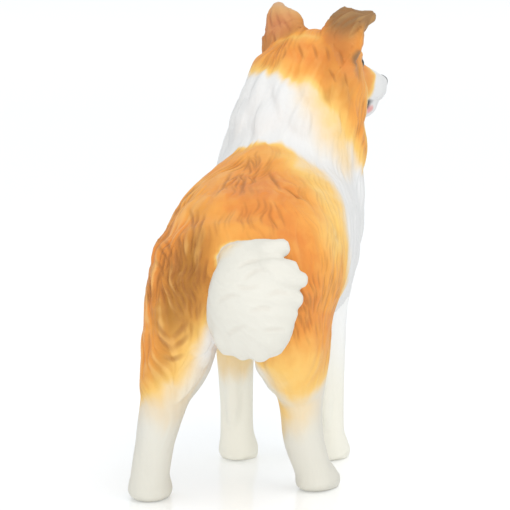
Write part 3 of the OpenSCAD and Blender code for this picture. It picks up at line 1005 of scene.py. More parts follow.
class Comb:
    """Hair directions over the figure, and the grooves that a comb drawn along them leaves."""

    STROKES = (
        ((-8, -17, 76), (-5, -9, 69), (-3, -5, 62), (-2, -3, 57), (-1.5, 3, 55), (-1.5, 10, 54)),
        ((-2, -16, 76), (1, -10, 68), (3, -6, 61), (5, -3, 56), (8, 2, 53), (11, 8, 48)),
        ((-12, -15, 74), (-11, -8, 68), (-9, -6, 61), (-9, -4, 55), (-11, 2, 52), (-14, 9, 48)),
        ((-1.5, 10, 54), (-1.4, 18, 52), (-1.3, 25, 48.5), (-1.2, 28.5, 44)),
        ((1.5, 11, 54), (2.6, 18.5, 51.5), (3.8, 25.3, 47.5), (4.6, 28.6, 42), (4.8, 29, 36)),
        ((-4.5, 11, 54), (-5.6, 18.5, 51.5), (-7.4, 25.2, 47.5), (-9.4, 27, 42), (-10, 26, 36)),
        ((4, 6, 54), (8.5, 13, 50), (11.5, 19, 43), (12, 22, 36)),
        ((11, 0, 48), (13.5, 10, 44), (13.2, 19, 39.5), (10.5, 26, 35), (8.5, 28, 31)),
        ((13.5, 8, 40), (14.2, 16, 35), (13.5, 23, 30), (10.5, 27, 25)),
        ((13.5, 12, 32), (15, 18, 27), (14.5, 23.5, 22), (12.5, 26.5, 17)),
        ((-6, 6, 54), (-10, 13, 50), (-13.5, 18, 43), (-13.5, 20, 36)),
        ((-14.5, 9, 48), (-16, 14, 41), (-16, 16, 34)),
        ((10, -9, 50), (13.5, -3, 42), (13.8, 3, 34), (12, 8, 27)),
        ((-13, -9, 50), (-16.3, -3, 42), (-16.5, 3, 34), (-14, 8, 27)),
        ((3, 20, 51), (7, 25, 45), (8.5, 27, 37), (9.5, 25, 29)),
        ((-5, 20, 51), (-9, 25, 45), (-10.5, 27, 37), (-11, 23, 29)),
        ((15, 20, 20), (14.6, 21, 14), (14, 21, 6)),
        ((9, 24, 37), (11, 24, 30), (12.5, 23, 20), (14, 23, 6)),
        ((6, 17, 32), (8, 19, 24), (11, 20, 14)),
        ((-14.5, 11, 44), (-15.5, 12, 36), (-14.5, 12, 28), (-13, 11, 20), (-13, 9, 6)),
        ((-6, 15, 32), (-7.5, 12, 24), (-10, 11, 14)),
        ((-1.5, -9, 25), (-1.5, 0, 24.5), (-1.5, 12, 26)),
        ((6.2, -12, 27), (6.2, -12.5, 16), (6.2, -13, 4)),
        ((-9.8, -14, 27), (-9.8, -15, 16), (-9.8, -16, 4)),
        ((1, -17, 75), (5.5, -16.5, 66), (9, -15, 56), (11.5, -14, 44)),
        ((-17, -19, 72), (-16.5, -18, 64), (-15.5, -16, 54), (-15, -15, 44)),
        ((-9, -30, 64), (-6, -31, 54), (-3, -29, 44), (-2, -26, 34)),
        ((0, -27, 64), (5, -25, 54), (7, -23, 42)),
        ((-15, -28, 64), (-13, -27, 54), (-10, -25, 42)),
        ((-16.5, -38, 67), (-12.6, -29, 72), (-9.4, -22, 76.5), (-7.6, -18, 76)),
        ((-10, -34, 67), (-3.5, -27, 68), (0.5, -20, 66)),
        ((-18.5, -34, 67), (-18.5, -26, 68), (-17, -18, 65)),
        ((-1.2, -20, 73), (-0.5, -19.5, 78), (0.5, -20.5, 82)),
        ((-13.5, -15, 73), (-15, -14, 78), (-18, -15, 82)),
        ((-1.0, 30, 43), (-5, 33.5, 42.5), (-10, 35, 41), (-14, 34, 39)),
        ((-0.5, 33, 38), (-4, 36, 36), (-9, 36.5, 33.5), (-13, 34.5, 31)),
        ((0, 32.5, 34), (-2.5, 35, 30.5), (-6, 34, 26)),
    )
    CELLS = (0.8, 2.2)
    SEED = 29
    SAMPLE_GAP = 3.0
    COARSE = 2.0
    REACH = 5.0
    FALL_OFF = 4.0
    SWAY = 0.42
    SWAY_RIPPLE = Ripple(5, 2.6, 3)
    STEP = 0.42
    STEPS = 9
    PULL = 1.5
    FLATTEST = 0.3

    def __init__(self, clay: Clay) -> None:
        """Tables the clay's distance, its outward direction and the hair's direction on a coarser grid."""
        grid = clay.grid
        value = clay.value[::2, ::2, ::2]
        self.grid = VoxelGrid(grid.low, 2 * grid.step, value.shape)
        slope = np.stack(np.gradient(value, self.grid.step), axis=-1).reshape(-1, 3)
        steep = np.linalg.norm(slope, axis=1)
        away = np.clip(value.ravel() / np.maximum(steep, self.FLATTEST), -self.PULL, self.PULL)
        outward = unit(slope)
        way = self.ways(self.grid.points(self.grid.whole))
        way = unit(way - outward * (way * outward).sum(axis=1)[:, None])
        rows = np.column_stack([away, outward, way]).astype(np.float32)
        self.table = rows.reshape(*value.shape, 7)

    def ways(self, points: Array) -> Array:
        """Hair directions at points: the strokes' own, spread out, with a sway that makes the hair wave.

        A stroke's weight falls with the distance d from it, as (1 + d^2 / reach^2) to the power of -4.
        """
        coarse = VoxelGrid.over(points.min(axis=0), points.max(axis=0), self.COARSE)
        spots = coarse.points(coarse.whole)
        places, along = [], []
        for stroke in self.STROKES:
            line = curve_through(np.array(stroke, float), self.SAMPLE_GAP)
            places.append(line)
            along.append(unit(np.gradient(line, axis=0)))
        places, along = np.concatenate(places), np.concatenate(along)
        apart = ((spots[:, None] - places[None]) ** 2).sum(axis=2) / self.REACH**2
        spread = unit((1 + apart) ** -self.FALL_OFF @ along).reshape(*coarse.shape, 3)
        combed = coarse.read(spread.astype(np.float32), points)
        return combed + self.SWAY * self.SWAY_RIPPLE.read(points)

    def stepped(self, spot: Array, row: Array, length: float | Array) -> tuple[Array, Array]:
        """One step along the hair and back onto the surface: the new places, and the table's rows there."""
        spot = spot + length * unit(row[:, 4:])
        row = self.grid.read(self.table, spot)
        return spot - row[:, :1] * row[:, 1:4], row

    def drawn(self, points: Array) -> tuple[list[Array], Array]:
        """Noise drawn out along the hair.

        From each point a line is traced both ways along the hair, pulled back onto the surface at each
        step. The sum of a random field along the line leaves streaks that follow the hair.

        Args:
            points: Places on the surface.

        Returns:
            Waves and locks, each with a spread of one, and the hair's direction at each point.
        """
        rng = np.random.default_rng(self.SEED)
        fields = []
        for cell in self.CELLS:
            ripple = Ripple(self.SEED, cell)
            fields.append((ripple, rng.standard_normal((ripple.size,) * 3).astype(np.float32)))
        sums = [ripple.mixed(lattice, points) for ripple, lattice in fields]
        start = self.grid.read(self.table, points)
        for length in (self.STEP, -self.STEP):
            spot, row = points.astype(np.float32), start
            for _ in range(self.STEPS):
                spot, row = self.stepped(spot, row, length)
                more = [ripple.mixed(lattice, spot) for ripple, lattice in fields]
                sums = [total + found for total, found in zip(sums, more)]
        return [total / total.std() for total in sums], unit(start[:, 4:])


def near_pairs(points: Array, places: Array, reach: float) -> Iterator[tuple[Array, Array]]:
    """Pairs every place with the points round it.

    Space is cut into cells as wide as the reach, and the points are sorted by the number of their cell, so
    that each of the 27 cells round a place holds a run of them.

    Args:
        points: Rows to find.
        places: Rows to look from.
        reach: Distance within which no point is missed.

    Returns:
        For each of the 27 cells, the places' numbers and the points' numbers.
    """
    low = points.min(axis=0) - 2 * reach
    shape = np.ceil((points.max(axis=0) - low) / reach).astype(np.int64) + 3
    strides = np.array([shape[1] * shape[2], shape[2], 1])
    cell_of, home = (
        np.clip(np.floor((rows - low) / reach).astype(np.int64), 1, shape - 2) @ strides
        for rows in (points, places)
    )
    order = np.argsort(cell_of, kind="stable")
    ranked = cell_of[order]
    for off in np.ndindex(3, 3, 3):
        cell = home + (np.array(off) - 1) @ strides
        first = np.searchsorted(ranked, cell, "left")
        count = np.searchsorted(ranked, cell, "right") - first
        skipped = np.repeat(first - np.cumsum(count) + count, count)
        yield np.repeat(np.arange(len(places)), count), order[np.arange(count.sum()) + skipped]


class Graver:
    """Short hairs engraved along the comb's directions, and a few longer strokes at listed places."""

    SEED = 11
    GAP = 1.1
    STEP = 0.15
    STEPS = 11
    WIDTH = 0.3
    DRAWN_OUT = 0.9
    APART = 0.45
    CROWDED = 0.4
    FULLER = 1.3
    THIN_ON_TOP = 0.35
    CREASE_GAP = 0.2
    CREASE_PULLS = 3
    HAUNCH = (
        ((11.3, 27.4, 31.1), (10.3, 27.9, 29.6), (9.1, 28.0, 28.2)),
        ((11.0, 27.4, 28.7), (10.0, 27.8, 27.5), (8.8, 27.9, 26.4)),
        ((5.9, 27.9, 31.4), (7.0, 28.1, 29.9), (8.4, 28.1, 28.5)),
        ((5.9, 27.6, 29.2), (7.0, 27.8, 27.8), (8.3, 27.9, 26.8)),
        ((10.1, 27.5, 25.2), (8.4, 27.6, 24.9), (6.7, 27.2, 25.6)),
    )
    HAUNCH_CUT = (0.85, 0.6)
    BACK = (
        ((11.2, 22.5, 44.0), (9.7, 25.2, 43.1), (8.3, 27.0, 40.8)),
        ((12.0, 22.5, 43.0), (10.3, 25.9, 41.6), (8.9, 27.1, 39.3)),
        ((12.1, 24.3, 40.8), (10.9, 26.2, 39.4), (9.7, 27.5, 37.8)),
        ((8.3, 24.9, 44.7), (7.0, 27.1, 42.8), (6.2, 27.8, 40.5)),
        ((7.4, 19.5, 48.7), (6.2, 23.0, 47.0), (5.1, 26.7, 45.3)),
        ((5.8, 20.9, 48.7), (5.4, 24.4, 46.8), (5.3, 27.0, 44.8)),
        ((4.4, 22.3, 48.2), (4.2, 26.2, 46.4), (4.4, 27.6, 44.3)),
        ((3.9, 28.5, 41.2), (4.0, 28.7, 38.9), (4.5, 28.5, 37.0)),
        ((2.5, 28.9, 41.7), (2.9, 29.1, 39.7), (3.2, 28.9, 37.8)),
        ((3.0, 6.8, 53.6), (2.9, 14.0, 52.0), (3.2, 19.3, 50.5)),
        ((0.2, 8.7, 53.2), (-0.4, 14.0, 52.4), (-0.9, 19.0, 51.2)),
        ((-2.8, 5.5, 54.4), (-5.1, 11.0, 52.8), (-7.0, 15.4, 51.6)),
        ((-7.3, 13.7, 52.1), (-9.7, 15.8, 50.8), (-11.4, 16.4, 49.8)),
    )
    BACK_CUT = (0.9, 0.42)
    TAIL = (
        ((-4.0, 36.4, 41.3), (-5.5, 35.8, 42.2), (-7.4, 35.6, 42.5)),
        ((-5.1, 37.6, 39.5), (-6.6, 37.0, 40.8), (-8.6, 36.6, 41.2)),
        ((-4.0, 37.7, 38.7), (-5.6, 38.0, 38.4), (-7.4, 38.0, 38.8)),
        ((-0.8, 37.2, 35.9), (-2.8, 38.0, 37.0), (-4.6, 38.2, 37.2)),
        ((-8.9, 37.9, 37.2), (-10.4, 37.4, 37.8), (-12.3, 36.6, 37.4)),
        ((-6.2, 38.3, 34.6), (-8.0, 38.1, 35.2), (-9.8, 37.7, 35.2)),
        ((-2.0, 36.4, 30.5), (-4.0, 37.7, 31.7), (-5.7, 38.0, 32.4)),
        ((-8.2, 37.6, 31.6), (-10.0, 37.3, 31.8), (-11.6, 36.3, 31.6)),
    )
    TAIL_CUT = (0.8, 0.5)
    EARS = (
        ((2.0, -20.5, 79.6), (1.4, -19.7, 78.4), (1.0, -19.1, 77.2)),
        ((0.3, -19.4, 79.7), (-0.2, -18.6, 78.4), (-0.9, -18.0, 77.0)),
        ((-1.3, -18.2, 78.7), (-1.9, -17.7, 77.6), (-2.5, -17.3, 76.6)),
        ((2.4, -20.3, 76.8), (2.4, -20.0, 75.6), (2.2, -19.6, 74.4)),
        ((1.0, -18.8, 76.4), (0.5, -18.3, 75.4), (-0.1, -17.6, 74.6)),
        ((-10.7, -14.5, 78.1), (-12.0, -14.6, 79.4), (-13.6, -14.8, 80.2)),
        ((-11.6, -13.8, 77.2), (-13.2, -13.7, 78.7), (-15.2, -13.8, 79.6)),
        ((-12.4, -13.2, 76.2), (-14.2, -13.0, 77.8), (-16.2, -12.9, 78.8)),
        ((-13.9, -12.6, 75.8), (-15.2, -12.4, 77.0), (-16.5, -12.3, 77.8)),
    )
    CROWN = (
        ((-2.5, -13.6, 73.8), (-2.5, -12.6, 72.7), (-2.1, -11.8, 71.7)),
        ((-4.7, -13.3, 74.5), (-5.4, -12.2, 73.3), (-6.0, -11.5, 72.0)),
        ((-7.4, -13.2, 74.4), (-8.0, -12.4, 73.2), (-8.4, -11.8, 71.9)),
        ((-9.7, -13.3, 74.1), (-10.2, -12.7, 72.9), (-10.4, -12.3, 71.6)),
        ((-12.0, -13.0, 73.4), (-12.5, -13.0, 72.2), (-12.8, -13.0, 70.9)),
        ((-10.6, -11.8, 70.5), (-11.3, -11.5, 69.4), (-11.8, -11.4, 68.0)),
        ((-13.1, -13.1, 69.6), (-13.4, -13.2, 68.4), (-13.6, -13.4, 67.1)),
    )
    HEAD_CUT = (0.75, 0.36)

    def __init__(self, comb: Comb) -> None:
        """Takes the comb whose directions the hairs follow."""
        self.comb = comb

    def hairs(self, skin: Skin, share: Array) -> tuple[Array, Array]:
        """Places along each engraved hair, and each hair's depth.

        Space is cut into small cells, one start is drawn in each cell that the sheet crosses, and a start
        is kept with a chance that is a power of the share there. On top of the back the hairs are fewer,
        and drawn out longer.
        """
        rng = np.random.default_rng(self.SEED)
        order = rng.permutation(len(skin.points))
        cell = np.floor(skin.points[order] / self.GAP).astype(np.int64)
        _, first = np.unique(cell, axis=0, return_index=True)
        start = order[first]
        upward = np.clip(skin.normals()[start, 2:], 0, 1) ** 2
        chance = share[start] ** self.FULLER * (1 - self.THIN_ON_TOP * upward[:, 0])
        kept = rng.random(len(start)) < chance
        start, upward = start[kept], upward[kept]
        step = self.STEP * (1 + self.DRAWN_OUT * upward)
        halves = []
        for length in (-step, step):
            spot = skin.points[start]
            row = self.comb.grid.read(self.comb.table, spot)
            line = [spot]
            for _ in range(self.STEPS):
                spot, row = self.comb.stepped(spot, row, length)
                line.append(spot)
            halves.append(np.stack(line, axis=1))
        lines = np.concatenate([halves[0][:, :0:-1], halves[1]], axis=1)
        kept = self.uncrowded(lines)
        return lines[kept], share[start[kept]]

    def uncrowded(self, lines: Array) -> Array:
        """Which hairs to keep: each in turn, unless much of it runs where a kept one already does."""
        taken, kept = set(), []
        for cells in np.floor(lines / self.APART).astype(int).tolist():
            own = set(map(tuple, cells))
            kept.append(len(own & taken) <= self.CROWDED * len(own))
            if kept[-1]:
                taken |= own
        return np.array(kept)

    def creases(self) -> list[tuple]:
        """The creases, laid on the surface, each with its depth and half width."""
        found = []
        groups = (
            (self.HAUNCH, self.HAUNCH_CUT),
            (self.BACK, self.BACK_CUT),
            (self.TAIL, self.TAIL_CUT),
            (self.EARS + self.CROWN, self.HEAD_CUT),
        )
        for group, cut in groups:
            for crease in group:
                line = curve_through(np.array(crease, float), self.CREASE_GAP)
                for _ in range(self.CREASE_PULLS):
                    row = self.comb.grid.read(self.comb.table, line)
                    line = line - row[:, :1] * row[:, 1:4]
                found.append((line, *cut))
        return found

    def engraved(self, skin: Skin, share: Array) -> Array:
        """How deep the hairs and creases cut at each point of the sheet.

        A stroke is deepest along its middle and in the middle of its length, and runs out to nothing.

        Args:
            skin: The smooth sheet.
            share: How thick and deep the hairs are at each point, from 0 to 1.

        Returns:
            Depths from 0 to 1.
        """
        lines, depths = self.hairs(skin, share)
        strokes = [(line, depth, self.WIDTH) for line, depth in zip(lines, depths)] + self.creases()
        places = np.concatenate([line for line, _, _ in strokes])
        tapers = [depth * (1 - np.linspace(-1, 1, len(line)) ** 2) for line, depth, _ in strokes]
        full = np.concatenate(tapers)
        width = np.concatenate([np.full(len(line), half) for line, _, half in strokes])
        deep = np.zeros(len(skin.points))
        for place, point in near_pairs(skin.points, places, width.max()):
            away = np.linalg.norm(skin.points[point] - places[place], axis=1)
            np.maximum.at(deep, point, full[place] * (1 - (away / width[place]) ** 2))
        return deep


@dataclass(frozen=True)
class Spray:
    """One pass of the airbrush along a line: rows of x, y, z and reach, with a soft edge.

    A pass with a load below zero rubs that share of the paint off again.
    """

    paint: Paint
    line: tuple
    soft: float
    load: float = 1.0
    only: tuple = ()
    spare: tuple = (Moulding.TAIL,)

    def cover(self, points: Array) -> Array:
        """How much the pass covers each point: eased across the edge of its chain of tapered capsules."""
        rows = np.array(self.line, float)
        if len(rows) == 1:
            rows = np.vstack([rows, rows + vec(0, 0, 0.01, 0)])
        nearest = np.full(len(points), 1e3)
        for a, b in zip(rows[:-1], rows[1:]):
            along = b[:3] - a[:3]
            t = np.clip((points - a[:3]) @ along / (along @ along), 0, 1)
            away = np.linalg.norm(points - a[:3] - t[:, None] * along, axis=1)
            nearest = np.minimum(nearest, away - a[3] - t * (b[3] - a[3]))
        return self.load * eased(0.5 - nearest / self.soft)


@dataclass(frozen=True)
class Coat:
    """How deep the combed hair is on each piece, in shares of the full depth, and the full depths."""

    place: HeadPlace
    lock_height: float = 0.15
    wave_height: float = 0.12
    hair_groove: float = 0.22
    clumps: Ripple = Ripple(7, 6.0)
    clumped: float = 0.8
    bare_share: float = 0.15
    tousled_more: float = 0.4
    tousled_waves: float = 0.9
    wave_range: tuple = (0.3, 1.6)
    # Shares of painted shade in the wave valleys and of painted highlight on the wave ridges: a base, and
    # more as the hair is tousled.
    valley: tuple = (0.1, 0.6)
    ridge: tuple = (0.3, 0.7)
    shank: tuple = (12.0, 26.0)
    shank_share: float = 0.25
    sole: tuple = (0.1, 1.6)
    face_above: float = 58.0
    face_ahead: float = 2.0
    face_range: tuple = (7.5, 2.5)
    face_share: float = 0.06
    tousled: Spray = Spray(Paint.BROWN, ((12, 8, 45, 6), (11, 22, 39, 8), (12, 24, 27, 5)), 9.0)
    sleek: Spray = Spray(Paint.AMBER, ((-2, 27.5, 45.5, 2.0), (-9, 26.5, 45.5, 1.6)), 3.5, 0.85)
    shares: tuple = (
        (Moulding.TORSO_LEFT, 1.0),
        (Moulding.TORSO_RIGHT, 0.75),
        (Moulding.RUFF, 0.7),
        (Moulding.HEAD, 0.8),
        (Moulding.LEFT_EAR, 0.85),
        (Moulding.RIGHT_EAR, 0.85),
        (Moulding.LEFT_FORELEG, 0.3),
        (Moulding.RIGHT_FORELEG, 0.3),
        (Moulding.LEFT_HIND_LEG, 1.0),
        (Moulding.RIGHT_HIND_LEG, 0.7),
        (Moulding.TAIL, 0.36),
    )

    def depth(self, skin: Skin) -> Array:
        """Share of the full depth at each point: its piece's, less by the tail, on face and shanks."""
        share = skin.belonging @ np.array([share for _, share in self.shares])
        z = skin.points[:, 2]
        share *= self.shank_share + (1 - self.shank_share) * ramp(z, *self.shank)
        share *= ramp(z, *self.sole) * (1 - self.sleek.cover(skin.points))
        ahead = self.place.local(skin.points)[:, 0]
        on_face = (z > self.face_above) & (ahead > self.face_ahead)
        left = self.face_share + (1 - self.face_share) * ramp(ahead, *self.face_range)
        return np.where(on_face, share * left, share)

    def hairy(self, skin: Skin, amber: Array) -> Array:
        """How thick and deep the engraved hairs are: in clumps, more where amber and where tousled."""
        clump = eased(0.5 + self.clumped * self.clumps.read(skin.points))
        painted = self.bare_share + (1 - self.bare_share) * amber
        more = 1 + self.tousled_more * self.ruffled(skin)
        return np.clip(self.depth(skin) * clump * painted * more, 0, 1)

    def ruffled(self, skin: Skin) -> Array:
        """How tousled the coat is at each point."""
        return self.tousled.cover(skin.points)

    def raised(self, skin: Skin, streaks: list[Array], cut: Array) -> tuple[Skin, dict[str, Array]]:
        """Raises the locks and waves of the coat, more where it is tousled, and cuts its engraved hairs.

        Args:
            skin: The smooth sheet.
            streaks: Waves and locks along the hair, one value a point each.
            cut: How deep the engraved hairs are at each point, from 0 to 1.

        Returns:
            The combed sheet, and how far each of its points is in a groove and on a ridge, from 0 to 1: its
            shares of painted shade and painted highlight.
        """
        waves, locks = streaks
        depth, tousled = self.depth(skin), self.ruffled(skin)
        wave_height = self.wave_height * (1 + self.tousled_waves * tousled)
        rise = self.lock_height * np.tanh(locks) + wave_height * np.tanh(waves)
        moved = skin.points + skin.normals() * (depth * rise - self.hair_groove * cut)[:, None]
        # Painted shade for the wave valleys, with the engraved hairs, and painted highlight for the wave
        # ridges.
        valley = (self.valley[0] + self.valley[1] * tousled) * ramp(-waves, *self.wave_range)
        ridge = (self.ridge[0] + self.ridge[1] * tousled) * ramp(waves, *self.wave_range)
        shades = {"groove": np.clip(cut + depth * valley, 0, 1), "ridge": np.clip(depth * ridge, 0, 1)}
        return Skin(moved, skin.quads, skin.piece), shades


@dataclass(frozen=True)
class Livery:
    """The painter's passes, in order."""

    head: HeadPlace

    def passes(self) -> list[Spray]:
        """All the passes: the cream of the legs, partly painted shade towards the floor, the amber coat,
        the brown over it with its painted shade and painted shadow, and the face's marks.
        """
        coat = self.cream() + self.saddle() + self.legs() + self.mane()
        return coat + self.shade() + self.ears() + self.face()

    def cream(self) -> list[Spray]:
        """A breath of cream on the tail, and cream down the legs that is fullest near the floor: partly the
        legs' own cream, partly painted shade towards the floor.
        """
        limbs = tuple(Moulding.sided(side, name) for side in SIDES for name in ("foreleg", "hind_leg"))
        low, plume = ((0, 30, 0, 23), (0, -20, 0, 23)), ((-5, 33, 42, 20), (-5, 33, 28, 20))
        return [
            # Cream over the legs, fullest near the floor: partly their own colour, partly painted shade
            # towards the floor.
            Spray(Paint.CREAM, low, 14.0, 0.9, only=limbs),
            Spray(Paint.CREAM, plume, 2.0, 0.8, only=(Moulding.TAIL,), spare=()),
        ]

    def saddle(self) -> list[Spray]:
        """Amber over back, flanks and rump, thin along its front and rubbed thinner on its right."""
        amber = Paint.AMBER
        right_edge = ((-4, 0, 57, 1.5), (-9, 5.5, 53.6, 2.2), (-14, 13, 50, 2.0), (-17, 17, 43, 1.5))
        tail_root = ((-2.5, 33, 44, 0.6), (1, 31, 41, 1.2), (2, 31, 35, 1.5))
        return [
            Spray(amber, ((5, 0, 54, 5.0), (-1.5, 1.5, 55.5, 5.0)), 3.5, 0.62),
            Spray(amber, ((-3, 1.5, 55.5, 5.2), (-8, 2, 53, 4.8), (-12.5, 7, 48, 4.2)), 4.0, 0.28),
            Spray(amber, ((4, 5, 43, 13.0), (1, 13, 42, 15), (1, 21, 41, 10.5)), 5.0, 0.7),
            Spray(amber, ((-4, 9, 46, 10.0), (-5, 14, 43, 12), (-7, 17, 36, 12)), 6.0, 0.75),
            Spray(amber, ((10, 3, 42, 8.5), (12, 13, 38, 10), (11, 21, 38, 7.5)), 5.5, 0.75),
            Spray(amber, right_edge, 6.0, -0.34),
            Spray(amber, ((-2, 14, 50, 4.0), (-8, 24, 44, 6.0), (-10, 26, 36, 6.0)), 7.0, 1.0),
            Spray(amber, ((-11, 25, 46, 2.5), (-13, 23.5, 41, 3.0), (-12.5, 24.5, 33, 2.5)), 5.0, 0.6),
            Spray(amber, tail_root, 4.5, 0.32, only=(Moulding.TAIL,), spare=()),
        ]

    def legs(self) -> list[Spray]:
        """Amber down the haunches, thinning to yellow, and a little on the left foreleg."""
        amber = Paint.AMBER
        left, right = (Moulding.LEFT_HIND_LEG,), (Moulding.RIGHT_HIND_LEG,)
        left_back = ((7, 24, 40, 7.5), (9.8, 24, 32, 6.4), (12, 24, 25, 4.6), (12.6, 24, 20.8, 2.8))
        left_side = ((13.5, 18, 32, 7.0), (14.5, 20, 24, 4.8), (14.8, 22, 19.4, 2.6))
        right_side = ((-12, 15, 31.5, 8.0), (-12.5, 14, 27, 5.6), (-14.4, 13, 24, 3.2))
        return [
            Spray(amber, left_back, 6.0, 0.8),
            Spray(amber, left_side, 7.0, 0.72, only=left),
            Spray(amber, ((9, 24, 24, 5.2), (11.5, 24, 17.4, 4.2)), 7.0, 0.24, only=left),
            Spray(amber, right_side, 9.0, 0.7, only=right),
            Spray(amber, ((-9.5, 21, 28, 6.8), (-10, 18, 22.4, 4.8)), 5.0, 0.42, only=right),
            Spray(amber, ((-9.5, 14, 15.5, 4.5),), 7.0, 0.2, only=right),
            Spray(amber, ((-6.6, 13, 14, 2.2), (-6.6, 12, 10.5, 1.5)), 3.5, 0.22, only=right),
            Spray(amber, ((6.2, -8, 24, 4.6), (6.2, -10, 19.5, 4.4)), 6.0, 0.3),
        ]

    def mane(self) -> list[Spray]:
        """Amber over the head and both sides of the mane, rubbed thin between the ears: partly paler hair
        on the crown, partly a painted highlight on top of the skull.
        """
        amber, at = Paint.AMBER, self.head.at
        between_ears = ((-1.7, -16.8, 75.6, 0.8), (-4.8, -15.2, 75.9, 1.6), (-8, -14.5, 75.5, 0.8))
        return [
            Spray(amber, ((*at(-3, 0, 2), 8.2), (*at(3, 0, 0), 7.2)), 5.5, 0.75),
            Spray(amber, ((2, -18, 74, 5.6), (-3, -14, 75, 5.2)), 5.5, 0.75),
            Spray(amber, ((-11.5, -15, 71, 6.6), (-14.5, -16, 62, 4.8), (-16, -17.5, 55.5, 3.0)), 5.5, 0.8),
            Spray(amber, ((-9, -10, 69, 3.5), (-12.5, -9.5, 60, 3.0), (-14, -11, 54, 2.0)), 8.0, 0.25),
            Spray(amber, ((-8, -8.5, 64, 3.5), (-11, -7.5, 58, 4.0), (-12, -8, 53, 3.0)), 6.0, 0.12),
            Spray(amber, ((*at(1, 7, -2), 6), (*at(2, 9, -8), 4.5), (*at(3, 10, -13), 3)), 5.0, 0.8),
            Spray(amber, ((*at(4, 0, 0), 5.5), (*at(8.6, 0, -2.0), 4.6)), 2.5, 0.85),
            # Amber thinned between the ears: partly paler hair, partly a painted highlight on the crown.
            Spray(amber, between_ears, 4.0, -0.5),
        ]

    def shade(self) -> list[Spray]:
        """Brown over the left haunch and shank, and in spots behind the right ear: partly the coat's own
        brown, partly painted shade between the left thigh and the tail and in the haunch's grooves, with
        painted shadow below the right ear beside the eye.
        """
        brown, left_leg = Paint.BROWN, (Moulding.LEFT_HIND_LEG,)
        return [
            # Painted shade between the left thigh and the tail, over some of the coat's own brown.
            Spray(brown, ((4.5, 27.5, 43.5, 2.6), (6.5, 28.5, 38, 4.0), (8.5, 28.3, 32, 3.2)), 6.0, 0.8),
            Spray(brown, ((10, 25.5, 43, 1.0), (12.5, 25, 36, 1.5)), 5.0, 0.3),
            Spray(brown, ((6, 22, 49, 1.5),), 5.0, 0.3),
            # Painted shade down the haunch's V-shaped grooves.
            Spray(brown, ((9.5, 27.5, 27, 1.6), (10.5, 27.2, 22, 1.0)), 4.0, 0.42),
            Spray(brown, ((12.5, 26, 23, 3.0), (12, 26, 17, 2.0)), 6.0, 0.13, only=left_leg),
            # Painted shadow below the right ear, beside the eye, brown with dark in its middle.
            Spray(brown, ((-16.0, -14.2, 71.8, 1.4), (-16.0, -14.6, 69.0, 1.1)), 1.5, 0.9),
            Spray(brown, ((-14.8, -14.4, 71.4, 1.0), (-15.1, -17.0, 69.6, 1.2)), 2.5, 0.5),
            Spray(Paint.DARK, ((-16.2, -14.2, 71.4, 0.8), (-16.2, -14.6, 69.2, 0.7)), 1.2, 0.4),
            Spray(brown, ((-10.7, -9.8, 65.3, 0.6), (-10.9, -10, 66.6, 0.5)), 2.2, 0.45),
            Spray(brown, ((-13.2, -12.5, 67.8, 0.6),), 2.0, 0.4),
            Spray(brown, ((-10, -12, 70.5, 1.5), (-13, -12.5, 66, 2.0)), 5.0, 0.34),
        ]

    def ears(self) -> list[Spray]:
        """Amber ears with brown tops, the right one browner."""
        at, left, right = self.head.at, (Moulding.LEFT_EAR,), (Moulding.RIGHT_EAR,)
        right_top = ((*at(-4, -7, 11.0), 4.4), (*at(-1, -10.8, 10.6), 4.2))
        return [
            Spray(Paint.AMBER, ((*at(-3, 7, 2), 4.5), (*at(-3, 7, 6), 3.5)), 5.0, 0.75, only=left),
            Spray(Paint.AMBER, ((*at(-3, 7, 4), 10),), 2.0, 0.3, only=left),
            Spray(Paint.AMBER, ((*at(-3, -7, 4), 9),), 2.0, 0.75, only=right),
            Spray(Paint.BROWN, ((*at(-4, 7.2, 8.0), 6.5),), 4.0, 0.46, only=left),
            Spray(Paint.PINK, ((*at(-4, 7.8, 11.0), 5.0),), 4.0, 0.2, only=left),
            Spray(Paint.AMBER, ((*at(0.6, 7.0, 9.2), 2.6),), 2.0, 0.7, only=left),
            Spray(Paint.BROWN, ((*at(1.3, 6.6, 8.8), 1.3),), 1.4, 0.5, only=left),
            Spray(Paint.BROWN, ((*at(1.2, -7.3, 7.2), 2.4),), 2.0, 0.7, only=right),
            Spray(Paint.BROWN, right_top, 4.0, 0.95, only=right),
            Spray(Paint.BROWN, ((*at(-4, -6.5, 5.0), 3.2),), 4.0, 0.3),
        ]

    def face(self) -> list[Spray]:
        """Dark nose, eyes and mouth line, and pink under the lip."""
        at = self.head.at
        found = [Spray(Paint.DARK, ((*at(19.7, 0, -2.7), 1.9),), 0.5)]
        for side in SIDES:
            mouth = ((*at(11.0, side * 3.1, -6.4), 0.9), (*at(13, side * 2.8, -6.2), 0.3))
            lip = ((*at(11.4, side * 2.9, -7.4), 0.8), (*at(13, side * 2.6, -7.2), 0.5))
            found += [
                Spray(Paint.DARK, ((*at(7.5, side * 3.2, 1.1), 1.2),), 0.5),
                Spray(Paint.DARK, mouth, 0.6),
                Spray(Paint.PINK, lip, 0.8, 0.8),
            ]
        return found

    def painted(self, skin: Skin, brushed: Array) -> dict[Paint, Array]:
        """Lays every pass on the sheet.

        Args:
            skin: The sheet, whose pieces limit some of the passes.
            brushed: How far the hair carries the paint along at each point.

        Returns:
            The thickness of each paint at each point, from 0 to 1.
        """
        found = {paint: np.zeros(len(skin.points)) for paint in Paint}
        for spray in self.passes():
            fine = spray.paint in (Paint.DARK, Paint.PINK)
            cover = spray.cover(skin.points if fine else skin.points + brushed)
            if spray.only:
                cover *= skin.held_by(spray.only)
            if spray.spare:
                cover *= 1 - skin.held_by(spray.spare)
            if spray.load < 0:
                found[spray.paint] *= 1 + cover
            else:
                found[spray.paint] = 1 - (1 - found[spray.paint]) * (1 - cover)
        return found


